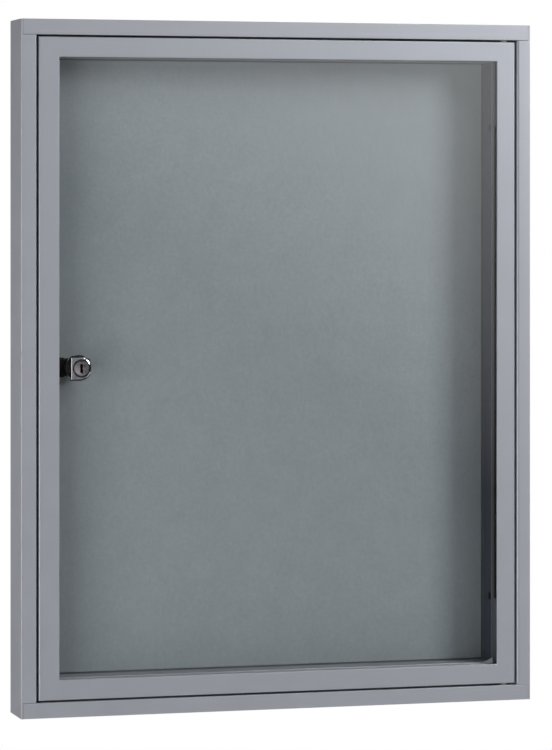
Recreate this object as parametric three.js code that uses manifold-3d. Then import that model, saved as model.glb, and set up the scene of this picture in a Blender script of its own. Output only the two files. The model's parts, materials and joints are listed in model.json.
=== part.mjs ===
// Lockable wall notice board: a hollow-profile casing with a felt-faced pin board,
// and a glazed door that turns on two pivot pins and carries a lock with a sliding bolt.
// Millimetres. +Z is up, +X is to the right seen from the front, and +Y runs into the wall.
// The origin is the centre of the rear face, on the wall. The door is shut and unlocked.

import * as THREE from 'three';
import { mergeVertices } from 'three/addons/utils/BufferGeometryUtils.js';
import Module from 'manifold-3d';

const wasm = await Module();
wasm.setup();

// Sizes of the casing
const casing_width = 525;
const casing_height = 682;
const casing_depth = 52;
const casing_wall = 1.6;
const side_skin = 2;
const rail_face = 15.2;
const lock_stile_face = 15.1;
const hinge_stile_face = 14.2;
const hinge_lip_radius = 2.8;
const stile_return = 35.2;
const rail_return = 36.8;
const recess_depth = 19.5;
const board_pocket_depth = 8.5;
const board_rebate = 8;
const edge_radius = 1;

// Sizes of the rear of the casing
const back_thickness = 2;
const felt_thickness = 1.5;
const hanger_width = 62;
const hanger_height = 72;
const keyhole_inset = 45;
const keyhole_head_radius = 5;
const keyhole_slot_radius = 2.75;
const keyhole_length = 12.5;
const keyhole_room = 2;
const hanger_screw_drop = 52;
const sheet_screw_height = 150;

// Sizes of the cleats that join the casing's corners
const cleat_width = 16;
const cleat_depth = 12;
const cleat_leg = 70;
const cleat_setback = 2.4;

// Sizes of the door
const lock_side_gap = 2.5;
const hinge_side_gap = 2.2;
const rail_side_gap = 1.9;
const door_thickness = 14;
const door_wall = 1.5;
const door_lock_face = 20.4;
const door_hinge_face = 19;
const door_rail_face = 19.7;
const door_lip = 2;
const glass_rebate = 7;
const door_edge_radius = 1.2;
const door_lip_radius = 0.6;
const door_cleat_leg = 32;

// Sizes of the glazing
const glass_thickness = 4;
const glass_edge_gap = 1;
const glazing_bar_depth = 4.2;
const glazing_bar_inset = 85.4;
const glazing_rail_bar_inset = 45.4;
const glazing_bar_setback = -0.3;
const glazing_rail_bar_setback = 2;

// Sizes of the pivots
const pivot_inset = 9.8;
const pin_radius = 2;
const pin_seat_length = 11;
const pin_reach = 6.2;
const bush_wall = 1;
const bush_reach = 5.2;
const bush_collar_radius = 4.7;
const bush_collar_thickness = 1.4;
const bracket_thickness = 1.2;
const bracket_length = 23.6;
const bracket_height = 16;
const bracket_ear_width = 11.6;
const bracket_ear_height = 5.6;
const bracket_edge_setback = 0.3;

// Sizes of the seals and of the side plugs
const seal_width = 5;
const seal_inset = 4.6;
const seal_end_room = 5;
const seal_hinge_end_room = 31;
const plug_inset = 103.5;
const plug_depth = 24.2;
const plug_head_radius = 3.9;
const plug_head_thickness = 0.8;
const plug_stem_radius = 2.8;
const plug_stem_length = 3.5;

// Sizes of the lock
const lock_inset = 20.6;
const head_height = 24.4;
const head_left = 10.3;
const head_right = 10.2;
const head_depth = 9.6;
const head_edge = 1.3;
const barrel_radius = 9;
const barrel_end = 19;
const plug_radius = 6.2;
const plug_flange_radius = 7.9;
const plug_flange_thickness = 2;
const keyway_width = 2.2;
const keyway_height = 8.8;
const keyway_depth = 11;
const washer_radius = 12.6;
const washer_thickness = 1;
const nut_radius = 12;
const nut_length = 9.8;
const nut_slot_width = 3;
const nut_slot_depth = 2.4;

// Sizes of the lock's case and its bolt
const case_wall = 1.6;
const case_height = 17;
const case_right = 13.9;
const case_shoulder = 12.1;
const case_depth = 12.6;
const nose_height = 19;
const nose_reach = 20.1;
const case_end_block = 5.2;
const cover_thickness = 1.6;
const cover_screw_inset = 2.6;
const bolt_height = 10;
const bolt_thickness = 5.6;
const bolt_setback = 5.4;
const bolt_tail = 7;
const drive_radius = 5;
const drive_pin_radius = 1.2;
const drive_disc_radius = 6.8;
const drive_disc_thickness = 1.6;
const drive_slot_play = 0.35;
const drive_slot_depth = 5.1;

// Sizes of the strike plate
const strike_thickness = 1.2;
const strike_height = 46;
const strike_width = 14;
const strike_screw_height = 17;
const strike_play = 0.8;

// Sizes of the screws
const screw_shank_radius = 1.5;
const screw_head_radius = 2.9;
const screw_head_height = 1.4;
const screw_length = 9;
const small_screw_scale_share = 0.6;

// Clearances
const seat = 0.2;
const joint_gap = 0.2;
const mitre_gap = 0.1;
const board_edge_gap = 0.4;
const plate_gap = 0.5;
const running_gap = 0.2;
const barrel_gap = 0.5;
const cleat_gap = 0.3;
const overrun = 5;

// How finely round shapes are divided
const round_sides = 24;
const screw_sides = 16;
const corner_steps = 3;

// Places worked out from the sizes. Depths are counted from the casing's front face.
const half_width = casing_width / 2;
const half_height = casing_height / 2;
const web_depth = casing_depth - back_thickness;
const panel_depth = casing_depth - board_pocket_depth;
const door_left = -half_width + lock_stile_face + lock_side_gap;
const door_right = half_width - hinge_stile_face - hinge_side_gap;
const door_top = half_height - rail_face - rail_side_gap;
const door_width = door_right - door_left;
const door_centre = (door_left + door_right) / 2;
const door_height = 2 * door_top;
const window_left = door_left + door_lock_face;
const window_right = door_right - door_hinge_face;
const window_top = door_top - door_rail_face;
const pivot_x = door_right - pivot_inset;
const pivot_depth = door_thickness / 2;
const glazing_bar_length = door_height - 2 * glazing_bar_inset;
const glazing_rail_bar_length = door_width - 2 * glazing_rail_bar_inset;
const glass_front = door_lip + seat;
const glass_back = glass_front + glass_thickness;
const lock_x = window_left + lock_inset;
const plug_height = half_height - plug_inset;
const stile_web_middle = (casing_wall + stile_return - board_rebate) / 2;
const rail_web_middle = (casing_wall + rail_return - board_rebate) / 2;
const rear_margin = side_skin + plate_gap;
const bush_radius = pin_radius + running_gap + bush_wall;
const washer_front = glass_back + seat;
const nut_front = washer_front + washer_thickness + seat;
const case_front = nut_front + nut_length + seat;
const case_back = case_front + case_depth;
const cover_back = case_back + seat + cover_thickness;
const bolt_front = case_front + bolt_setback;
const bolt_back = bolt_front + bolt_thickness;

// Materials
const finish = (color, roughness, metalness) => new THREE.MeshStandardMaterial({ color, roughness, metalness });
const materials = {
  casing: finish(0x9ba0a8, 0.42, 0.35),
  door: finish(0xa0a5ad, 0.4, 0.35),
  felt: finish(0x858b90, 0.95, 0),
  board: finish(0x9a8466, 0.9, 0),
  aluminium: finish(0xb9bcc0, 0.45, 0.9),
  zinc: finish(0xa9adb0, 0.4, 0.9),
  chrome: finish(0xd6d8da, 0.08, 1),
  blackPlastic: finish(0x1d1a18, 0.55, 0),
  rubber: finish(0x202022, 0.85, 0),
  nylon: finish(0xd8d6cf, 0.5, 0),
  steel: finish(0xb4b7ba, 0.3, 1),
  glass: new THREE.MeshStandardMaterial({
    color: 0xe8f1ee, roughness: 0.03, metalness: 0, transparent: true, opacity: 0.2,
  }),
};

// A closed geometry as a solid that can be joined and cut
function toSolid(geometry) {
  const bare = geometry.index ? geometry.toNonIndexed() : geometry.clone();
  bare.deleteAttribute('normal');
  bare.deleteAttribute('uv');
  const merged = mergeVertices(bare);
  const corners = [];
  for (let i = 0; i < merged.index.count; i += 3) {
    const [a, b, c] = [merged.index.getX(i), merged.index.getX(i + 1), merged.index.getX(i + 2)];
    if (a !== b && b !== c && c !== a) {
      corners.push(a, b, c);
    }
  }
  return new wasm.Manifold(new wasm.Mesh({
    numProp: 3,
    vertProperties: new Float32Array(merged.attributes.position.array),
    triVerts: new Uint32Array(corners),
  }));
}

// A solid as a geometry with flat faces
function toGeometry(solid) {
  const mesh = solid.getMesh();
  const geometry = new THREE.BufferGeometry();
  geometry.setAttribute('position', new THREE.BufferAttribute(new Float32Array(mesh.vertProperties), 3));
  geometry.setIndex(new THREE.BufferAttribute(new Uint32Array(mesh.triVerts), 1));
  const flat = geometry.toNonIndexed();
  flat.computeVertexNormals();
  return flat;
}

function cut(base, tools) {
  return toGeometry(tools.reduce((solid, tool) => solid.subtract(toSolid(tool)), toSolid(base)));
}

function join(parts) {
  return toGeometry(parts.slice(1).reduce((solid, part) => solid.add(toSolid(part)), toSolid(parts[0])));
}

function common(base, tool) {
  return toGeometry(toSolid(base).intersect(toSolid(tool)));
}

// A box between two values on each axis
function box([x0, x1], [y0, y1], [z0, z1]) {
  const geometry = new THREE.BoxGeometry(x1 - x0, y1 - y0, z1 - z0);
  return geometry.translate((x0 + x1) / 2, (y0 + y1) / 2, (z0 + z1) / 2);
}

// A straight prism. Its outline is drawn in (depth, height) along X, (x, height) along Y and (x, depth) along Z.
function prism(axis, outline, start, end, bevel = {}) {
  const drawn = axis === 'y' ? outline.map(([x, z]) => [z, x]) : outline;
  const shape = new THREE.Shape(drawn.map(([u, v]) => new THREE.Vector2(u, v)));
  const options = { depth: end - start, bevelEnabled: false, ...bevel };
  const geometry = new THREE.ExtrudeGeometry(shape, options).translate(0, 0, start);
  const unit = { x: new THREE.Vector3(1, 0, 0), y: new THREE.Vector3(0, 1, 0), z: new THREE.Vector3(0, 0, 1) };
  const turned = {
    x: [unit.y, unit.z, unit.x],
    y: [unit.z, unit.x, unit.y],
    z: [unit.x, unit.y, unit.z],
  };
  return geometry.applyMatrix4(new THREE.Matrix4().makeBasis(...turned[axis]));
}

// A cylinder along one axis through a point of the other two
function rod(axis, radius, start, end, [a, b] = [0, 0], sides = round_sides) {
  const geometry = new THREE.CylinderGeometry(radius, radius, end - start, sides);
  const middle = (start + end) / 2;
  if (axis === 'x') {
    return geometry.rotateZ(-Math.PI / 2).translate(middle, a, b);
  }
  if (axis === 'y') {
    return geometry.translate(a, middle, b);
  }
  return geometry.rotateX(Math.PI / 2).translate(a, b, middle);
}

// Points of a quarter round between two edges, from one angle to the next, in quarter turns
function quarter([u, v], radius, from_quarter) {
  return Array.from({ length: corner_steps + 1 }, (_, step) => {
    const angle = (from_quarter + step / corner_steps) * Math.PI / 2;
    return [u + radius * Math.cos(angle), v + radius * Math.sin(angle)];
  });
}

// A countersunk screw. Its head's flat face is at zero, and its shank runs towards -Y.
function screwGeometry(scale, clearance) {
  const head = screw_head_radius * scale + clearance;
  const shank = screw_shank_radius * scale + clearance;
  const head_height = screw_head_height * scale;
  const length = screw_length * scale;
  const profile = [
    [0, -length - clearance],
    [shank, -length - clearance],
    [shank, -head_height],
    [head, 0],
    [0, 0],
  ];
  return new THREE.LatheGeometry(profile.map(([r, y]) => new THREE.Vector2(r, y)), screw_sides);
}

// The room that a screw needs, run out past its head
function screwRoom(scale = 1) {
  const head = screw_head_radius * scale + seat;
  return join([screwGeometry(scale, seat), rod('y', head, -seat, overrun, [0, 0], screw_sides)]);
}

// A cross recess cut into a screw's head
function screw(scale = 1) {
  const reach = screw_head_radius * scale / 2;
  const blade = screw_shank_radius * scale / 4;
  const depth = screw_head_height * scale / 2;
  return cut(screwGeometry(scale, 0), [
    box([-reach, reach], [-depth, overrun], [-blade, blade]),
    box([-blade, blade], [-depth, overrun], [-reach, reach]),
  ]);
}

function add(group, name, geometry, material, [x, y, z] = [0, 0, 0], turn = [0, 0, 0]) {
  const mesh = new THREE.Mesh(geometry, material);
  mesh.name = name;
  mesh.position.set(x, y, z);
  mesh.rotation.set(...turn);
  group.add(mesh);
  return mesh;
}

// Section of a casing member: u runs in from the outer face, and depth from the front face
function casingSection(face, inner, lip_radius) {
  const rebate = inner - board_rebate;
  return [
    ...quarter([edge_radius, edge_radius], edge_radius, 2),
    ...quarter([face - lip_radius, lip_radius], lip_radius, 3),
    [face, recess_depth],
    ...quarter([inner - edge_radius, recess_depth + edge_radius], edge_radius, 3),
    [inner, panel_depth],
    [rebate, panel_depth],
    [rebate, web_depth],
    [casing_wall, web_depth],
    [casing_wall, casing_depth],
    [0, casing_depth],
  ];
}

// Section of the hollow inside a casing member
function casingHollow(face, inner) {
  const rebate = inner - board_rebate;
  return [
    [casing_wall, casing_wall],
    [face - casing_wall, casing_wall],
    [face - casing_wall, recess_depth + casing_wall],
    [inner - casing_wall, recess_depth + casing_wall],
    [inner - casing_wall, panel_depth - casing_wall],
    [rebate - casing_wall, panel_depth - casing_wall],
    [rebate - casing_wall, web_depth - casing_wall],
    [casing_wall, web_depth - casing_wall],
  ];
}

// A hollow member lying along X, its outer face up at zero height and its front at zero depth
function hollowMember(section, hollow, half_length) {
  const lay = (outline) => outline.map(([u, depth]) => [depth, -u]);
  const body = prism('x', lay(section), -half_length, half_length);
  return cut(body, [prism('x', lay(hollow), -half_length - overrun, half_length + overrun)]);
}

// A rail of the casing lies between the stiles' outer skins. The pivot is on one side of it.
function casingRail(pivot_side) {
  const half_length = half_width - side_skin - joint_gap;
  const cleat_u = cleat_setback + cleat_width / 2;
  const cleat_depth_middle = recess_depth + casing_wall + cleat_gap + cleat_depth / 2;
  const tools = [
    rod('z', bush_radius + running_gap, -rail_face - overrun, -rail_face + casing_wall + seat,
      [pivot_side * pivot_x, pivot_depth]),
  ];
  for (const side of [-1, 1]) {
    const cleat_x = side * (half_width - cleat_u);
    const cleat_half = cleat_width / 2 + cleat_gap;
    const cleat_half_depth = cleat_depth / 2 + cleat_gap;
    tools.push(box(
      [cleat_x - cleat_half, cleat_x + cleat_half],
      [cleat_depth_middle - cleat_half_depth, cleat_depth_middle + cleat_half_depth],
      [-rail_return - overrun, -rail_return + casing_wall + seat],
    ));
    const keyhole_x = side * (half_width - keyhole_inset);
    const keyhole_half_width = keyhole_head_radius + keyhole_room;
    const keyhole_half_height = keyhole_length / 2 + keyhole_head_radius;
    tools.push(box(
      [keyhole_x - keyhole_half_width, keyhole_x + keyhole_half_width],
      [web_depth - casing_wall - seat, web_depth + overrun],
      [-rail_web_middle - keyhole_half_height, -rail_web_middle + keyhole_half_height],
    ));
  }
  const section = casingSection(rail_face, rail_return, edge_radius);
  const hollow = casingHollow(rail_face, rail_return);
  return cut(hollowMember(section, hollow, half_length), tools);
}

// The stepped end of a rail, cut out of a stile behind its outer skin
function railCope(end) {
  const face_x = end * (half_height - rail_face - joint_gap);
  const return_x = end * (half_height - rail_return - joint_gap);
  const rebate_x = end * (half_height - rail_return + board_rebate - joint_gap);
  const end_x = end * (half_height + overrun);
  const outline = [
    [end_x, -overrun],
    [face_x, -overrun],
    [face_x, recess_depth - joint_gap],
    [return_x, recess_depth - joint_gap],
    [return_x, panel_depth + joint_gap],
    [rebate_x, panel_depth + joint_gap],
    [rebate_x, casing_depth + overrun],
    [end_x, casing_depth + overrun],
  ];
  return prism('z', outline, -stile_return - overrun, -side_skin);
}

// A stile of the casing runs the full height, lying along X until it is turned upright
function casingStile(face, lip_radius, extra_tools) {
  const tools = [railCope(-1), railCope(1)];
  for (const end of [-1, 1]) {
    for (const along of [sheet_screw_height, half_height - hanger_screw_drop]) {
      const radius = screw_shank_radius + seat;
      tools.push(rod('y', radius, web_depth - casing_wall - seat, web_depth + overrun,
        [end * along, -stile_web_middle], screw_sides));
    }
  }
  const section = casingSection(face, stile_return, lip_radius);
  const body = hollowMember(section, casingHollow(face, stile_return), half_height);
  return cut(body, [...tools, ...extra_tools]);
}

// The bolt's slot and the strike plate's screw holes in the lock stile's return
function strikeTools() {
  const middle = (bolt_front + bolt_back) / 2;
  const tools = [box(
    [-bolt_height / 2 - strike_play, bolt_height / 2 + strike_play],
    [bolt_front - strike_play, bolt_back + strike_play],
    [-stile_return - overrun, -stile_return + casing_wall + seat],
  )];
  for (const end of [-1, 1]) {
    const radius = screw_shank_radius * small_screw_scale_share + seat;
    tools.push(rod('z', radius, -stile_return - overrun, -stile_return + casing_wall + seat,
      [end * strike_screw_height, middle], screw_sides));
  }
  return tools;
}

// The holes for the side plugs in the hinge stile's return
function plugTools() {
  return [-1, 1].map((end) => rod('z', plug_stem_radius + seat, -stile_return - overrun,
    -stile_return + casing_wall + seat, [end * plug_height, plug_depth], screw_sides));
}

// An L-shaped cleat in a corner of the casing: one leg in the rail, one down into the stile
function casingCleat(side, end) {
  const outer = half_width - cleat_setback;
  const top = half_height - cleat_setback;
  const front = recess_depth + casing_wall + cleat_gap;
  const outline = [
    [outer, top],
    [outer - cleat_leg, top],
    [outer - cleat_leg, top - cleat_width],
    [outer - cleat_width, top - cleat_width],
    [outer - cleat_width, top - cleat_leg],
    [outer, top - cleat_leg],
  ];
  return prism('y', outline.map(([x, z]) => [side * x, end * z]), front, front + cleat_depth);
}

// A steel plate over a rear corner, with a keyhole for a wall screw
function hangerPlate(side, end) {
  const outer_x = half_width - rear_margin;
  const outer_z = half_height - rear_margin;
  const front = web_depth + seat;
  const across = [side * outer_x, side * (outer_x - hanger_width)].sort((a, b) => a - b);
  const upright = [end * outer_z, end * (outer_z - hanger_height)].sort((a, b) => a - b);
  const keyhole_x = side * (half_width - keyhole_inset);
  const middle_z = end * (half_height - rail_web_middle);
  const low = middle_z - keyhole_length / 2;
  const high = middle_z + keyhole_length / 2;
  const through = [front - overrun, casing_depth + overrun];
  const screw_place = [side * (half_width - stile_web_middle), casing_depth, end * (half_height - hanger_screw_drop)];
  return cut(box(across, [front, casing_depth], upright), [
    rod('y', keyhole_head_radius, ...through, [keyhole_x, low]),
    rod('y', keyhole_slot_radius, ...through, [keyhole_x, high]),
    box([keyhole_x - keyhole_slot_radius, keyhole_x + keyhole_slot_radius], through, [low, high]),
    screwRoom().translate(...screw_place),
  ]);
}

// The back sheet, its corners cut away around the hanger plates
function backSheet() {
  const x = half_width - rear_margin;
  const z = half_height - rear_margin;
  const notch_x = x - hanger_width - plate_gap;
  const notch_z = z - hanger_height - plate_gap;
  const corner = [[x, notch_z], [notch_x, notch_z], [notch_x, z]];
  const outline = [
    ...corner,
    ...[...corner].reverse().map(([a, b]) => [-a, b]),
    ...corner.map(([a, b]) => [-a, -b]),
    ...[...corner].reverse().map(([a, b]) => [a, -b]),
  ];
  const tools = [];
  for (const [side, end] of corners()) {
    const place = [side * (half_width - stile_web_middle), casing_depth, end * sheet_screw_height];
    tools.push(screwRoom().translate(...place));
  }
  return cut(prism('y', outline, web_depth + seat, casing_depth), tools);
}

function corners() {
  return [[-1, 1], [1, 1], [-1, -1], [1, -1]];
}

function cornerName(side, end) {
  return `${end > 0 ? 'top' : 'bottom'}_${side < 0 ? 'lock' : 'hinge'}`;
}

// A soft strip with a rounded front, glued to the step behind the door
function sealSection() {
  const radius = seal_width / 2;
  const front = door_thickness + seat;
  return [
    [0, recess_depth - seat],
    ...quarter([radius, front + radius], radius, 2),
    ...quarter([radius, front + radius], radius, 3).slice(1),
    [seal_width, recess_depth - seat],
  ];
}

function railSeal(end, from_x, to_x) {
  const outer = door_top - seal_inset;
  const outline = sealSection().map(([u, depth]) => [depth, end * (outer - u)]);
  return prism('x', outline, from_x, to_x);
}

function lockSeal() {
  const outline = sealSection().map(([u, depth]) => [door_left + seal_inset + u, depth]);
  const half_length = window_top - seal_end_room;
  return prism('z', outline, -half_length, half_length);
}

function strikePlate() {
  const wall_x = -half_width + stile_return;
  const middle = (bolt_front + bolt_back) / 2;
  const across = [wall_x + seat, wall_x + seat + strike_thickness];
  const tools = [box(
    [wall_x - overrun, wall_x + overrun],
    [bolt_front - strike_play, bolt_back + strike_play],
    [-bolt_height / 2 - strike_play, bolt_height / 2 + strike_play],
  )];
  for (const end of [-1, 1]) {
    const room = screwRoom(small_screw_scale_share).rotateZ(-Math.PI / 2);
    tools.push(room.translate(across[1], middle, end * strike_screw_height));
  }
  const half = strike_height / 2;
  return cut(box(across, [middle - strike_width / 2, middle + strike_width / 2], [-half, half]), tools);
}

// A bush for a pivot pin, its collar inside the rail and its sleeve down into the gap over the door
function pivotBush(end) {
  const low = door_top + joint_gap;
  const high = door_top + rail_side_gap + casing_wall + bush_reach;
  const collar = door_top + rail_side_gap + casing_wall + seat;
  const at = [pivot_x, pivot_depth];
  const span = (from, to) => [end * from, end * to].sort((a, b) => a - b);
  const body = join([
    rod('z', bush_radius, ...span(low, high), at),
    rod('z', bush_collar_radius, ...span(collar, collar + bush_collar_thickness), at),
  ]);
  return cut(body, [rod('z', pin_radius + running_gap, ...span(low - overrun, high + overrun), at)]);
}

// A plastic plug in the hinge stile's return
function sidePlug() {
  const wall_x = half_width - stile_return;
  return join([
    rod('x', plug_head_radius, wall_x - seat - plug_head_thickness, wall_x - seat, [0, 0]),
    rod('x', plug_stem_radius, wall_x - seat - plug_head_thickness / 2, wall_x + plug_stem_length, [0, 0]),
  ]);
}

// Section of a door member: u runs in from the door's edge, and depth from its front
function doorSection(face) {
  const tube = face - glass_rebate;
  return [
    ...quarter([door_edge_radius, door_edge_radius], door_edge_radius, 2),
    ...quarter([face - door_lip_radius, door_lip_radius], door_lip_radius, 3),
    [face, door_lip],
    [tube, door_lip],
    [tube, door_thickness],
    ...quarter([door_edge_radius, door_thickness - door_edge_radius], door_edge_radius, 1),
  ];
}

function doorHollow(face) {
  const tube = face - glass_rebate - door_wall;
  return [
    [door_wall, door_wall],
    [tube, door_wall],
    [tube, door_thickness - door_wall],
    [door_wall, door_thickness - door_wall],
  ];
}

// A door member lying along X with mitred ends that meet faces of the two given widths
function doorMember(length, face, left_face, right_face, tools = []) {
  const half = length / 2;
  const body = hollowMember(doorSection(face), doorHollow(face), half);
  const rise = overrun / face;
  const left = -half + mitre_gap;
  const right = half - mitre_gap;
  const trapezium = [
    [left - left_face * rise, overrun],
    [right + right_face * rise, overrun],
    [right - right_face * (1 + rise), -face - overrun],
    [left + left_face * (1 + rise), -face - overrun],
  ];
  const mitred = common(body, prism('y', trapezium, -overrun, door_thickness + overrun));
  return tools.length > 0 ? cut(mitred, tools) : mitred;
}

function pinHole(side) {
  const x = side * (door_width / 2 - pivot_inset);
  return [rod('z', pin_radius + seat, -door_wall - seat, overrun, [x, pivot_depth], screw_sides)];
}

// An L-shaped cleat in a corner of the door. Those on the hinge side are bored for a pivot pin.
function doorCleat(side, end) {
  const stile_face = side < 0 ? door_lock_face : door_hinge_face;
  const outer = door_width / 2 - door_wall - seat;
  const top = door_top - door_wall - seat;
  const stile_leg = stile_face - glass_rebate - 2 * (door_wall + seat);
  const rail_leg = door_rail_face - glass_rebate - 2 * (door_wall + seat);
  const outline = [
    [outer, top],
    [outer - door_cleat_leg, top],
    [outer - door_cleat_leg, top - rail_leg],
    [outer - stile_leg, top - rail_leg],
    [outer - stile_leg, top - door_cleat_leg],
    [outer, top - door_cleat_leg],
  ];
  const placed = outline.map(([x, z]) => [side * x, end * z]);
  const body = prism('y', placed, door_wall + seat, door_thickness - door_wall - seat);
  if (side < 0) {
    return body;
  }
  const x = door_width / 2 - pivot_inset;
  const span = [end * (door_top - door_cleat_leg), end * (door_top + overrun)].sort((a, b) => a - b);
  return cut(body, [rod('z', pin_radius + seat, ...span, [x, pivot_depth], screw_sides)]);
}

function pivotPin(end) {
  const low = door_top - pin_seat_length;
  const high = door_top + rail_side_gap + casing_wall + pin_reach;
  const span = [end * low, end * high].sort((a, b) => a - b);
  return rod('z', pin_radius, ...span, [door_width / 2 - pivot_inset, pivot_depth]);
}

// The pane, bored for the lock
function glassPane() {
  const left = window_left - glass_rebate + glass_edge_gap - door_centre;
  const right = window_right + glass_rebate - glass_edge_gap - door_centre;
  const top = window_top + glass_rebate - glass_edge_gap;
  const hole = rod('y', barrel_radius + barrel_gap, glass_front - overrun, glass_back + overrun,
    [lock_x - door_centre, 0]);
  return cut(box([left, right], [glass_front, glass_back], [-top, top]), [hole]);
}

// A bar that holds the pane in its rebate, lying along X with the door's edge up at zero height
function glazingBar(face, length, setback) {
  const front = glass_back + seat;
  const back = front + glazing_bar_depth;
  const outline = [
    [front, -face + setback],
    [back - door_lip_radius, -face + setback],
    [back, -face + setback + door_lip_radius],
    [back, -face + glass_rebate - seat],
    [front, -face + glass_rebate - seat],
  ];
  return prism('x', outline, -length / 2, length / 2);
}

// The bracket behind the foot of the hinge stile, with an ear that shows in the glass's corner
function pivotBracket() {
  const right = window_right - bracket_edge_setback - door_centre;
  const ledge = -window_top - door_lip_radius;
  const left = right - bracket_length;
  const outline = [
    [left, ledge - bracket_height],
    [right, ledge - bracket_height],
    [right, ledge + bracket_ear_height],
    [right - bracket_ear_width, ledge],
    [left, ledge],
  ];
  return prism('y', outline, door_thickness + seat, door_thickness + seat + bracket_thickness);
}

// The D-shaped head of the lock with its threaded barrel, both round the plug's axis
function lockHousing() {
  const half = head_height / 2;
  const arc_x = head_right - half;
  const inset = (value) => value - head_edge;
  const outline = [[-inset(head_left), inset(half)], [-inset(head_left), -inset(half)]];
  for (let step = 0; step <= round_sides / 2; step += 1) {
    const angle = -Math.PI / 2 + Math.PI * step / (round_sides / 2);
    outline.push([arc_x + inset(half) * Math.cos(angle), inset(half) * Math.sin(angle)]);
  }
  const bevel = {
    bevelEnabled: true, bevelThickness: head_edge, bevelSize: head_edge, bevelSegments: corner_steps,
  };
  const back = door_lip;
  const front = back - head_depth;
  const head = prism('y', outline, front + head_edge, back + head_edge, bevel);
  const behind = [back, back + overrun + head_edge];
  const sides = [-head_left - overrun, head_right + overrun];
  const trimmed = cut(head, [box(sides, behind, [-half - overrun, half + overrun])]);
  const body = join([trimmed, rod('y', barrel_radius, back - head_edge, barrel_end)]);
  return cut(body, [
    rod('y', plug_radius + running_gap, front - overrun, barrel_end + overrun),
    rod('y', plug_flange_radius + running_gap, front - overrun, front + plug_flange_thickness + 2 * seat),
  ]);
}

function lockPlug() {
  const front = door_lip - head_depth + seat;
  const body = join([
    rod('y', plug_flange_radius, front, front + plug_flange_thickness),
    rod('y', plug_radius, front + plug_flange_thickness / 2, barrel_end + seat),
  ]);
  const half_width_of_slot = keyway_width / 2;
  const half_height_of_slot = keyway_height / 2;
  return cut(body, [box(
    [-half_width_of_slot, half_width_of_slot],
    [front - overrun, front + keyway_depth],
    [-half_height_of_slot, half_height_of_slot],
  )]);
}

function ring(outer, inner, front, back) {
  return cut(rod('y', outer, front, back), [rod('y', inner, front - overrun, back + overrun)]);
}

function lockNut() {
  const back = nut_front + nut_length;
  const half = nut_slot_width / 2;
  const body = ring(nut_radius, barrel_radius + running_gap, nut_front, back);
  const slots = [-1, 1].map((end) => {
    const inner = end * (barrel_radius + running_gap + nut_slot_width / 3);
    const heights = [inner, end * (nut_radius + overrun)].sort((a, b) => a - b);
    return box([-half, half], [back - nut_slot_depth, back + overrun], heights);
  });
  return cut(body, slots);
}

// Outline of the lock's case and its cover: a taller nose at the left for the bolt
function caseOutline() {
  const main = case_height / 2;
  const nose = nose_height / 2;
  return [
    [case_right, main],
    [-case_shoulder, main],
    [-case_shoulder, nose],
    [-nose_reach, nose],
    [-nose_reach, -nose],
    [-case_shoulder, -nose],
    [-case_shoulder, -main],
    [case_right, -main],
  ];
}

function coverScrewPlaces() {
  const right = case_right - cover_screw_inset;
  const left = -nose_reach + cover_screw_inset;
  const height = nose_height / 2 - cover_screw_inset;
  return { right: [right, cover_back, 0], left: [left, cover_back, height] };
}

function lockCase() {
  const inner = case_height / 2 - case_wall + seat * 2;
  const floor = case_front + case_wall;
  const tools = [
    box([-case_shoulder + case_wall, case_right - case_end_block], [floor, case_back + overrun], [-inner, inner]),
    box(
      [-nose_reach - overrun, 0],
      [bolt_front - seat, bolt_back + seat],
      [-bolt_height / 2 - running_gap, bolt_height / 2 + running_gap],
    ),
    rod('y', barrel_radius + running_gap, case_front - overrun, floor + seat),
  ];
  for (const place of Object.values(coverScrewPlaces())) {
    tools.push(screwRoom(small_screw_scale_share).translate(...place));
  }
  return cut(prism('y', caseOutline(), case_front, case_back), tools);
}

function lockCover() {
  const tools = Object.values(coverScrewPlaces()).map((place) =>
    screwRoom(small_screw_scale_share).translate(...place));
  return cut(prism('y', caseOutline(), case_back + seat, cover_back), tools);
}

// The disc on the plug's end, with the off-centre pin that drives the bolt
function driveDisc() {
  const front = barrel_end + 2 * seat;
  const back = front + drive_disc_thickness;
  const across = drive_radius * Math.SQRT1_2;
  return join([
    rod('y', drive_disc_radius, front, back),
    rod('y', drive_pin_radius, back - seat, bolt_back - seat, [across, across], screw_sides),
  ]);
}

// The sliding bolt. The drive pin runs in the open slot in its tail.
function lockBolt() {
  const across = drive_radius * Math.SQRT1_2;
  const slot_half = drive_pin_radius + drive_slot_play;
  const tail_top = case_height / 2 - case_wall;
  const slot_floor = tail_top - drive_slot_depth;
  const half = bolt_height / 2;
  const outline = [
    [-nose_reach + seat, -half],
    [bolt_tail, -half],
    [bolt_tail, tail_top],
    [across + slot_half, tail_top],
    [across + slot_half, slot_floor],
    [across - slot_half, slot_floor],
    [across - slot_half, tail_top],
    [-seat, tail_top],
    [-seat, half],
    [-nose_reach + seat, half],
  ];
  return prism('y', outline, bolt_front, bolt_back);
}

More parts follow.
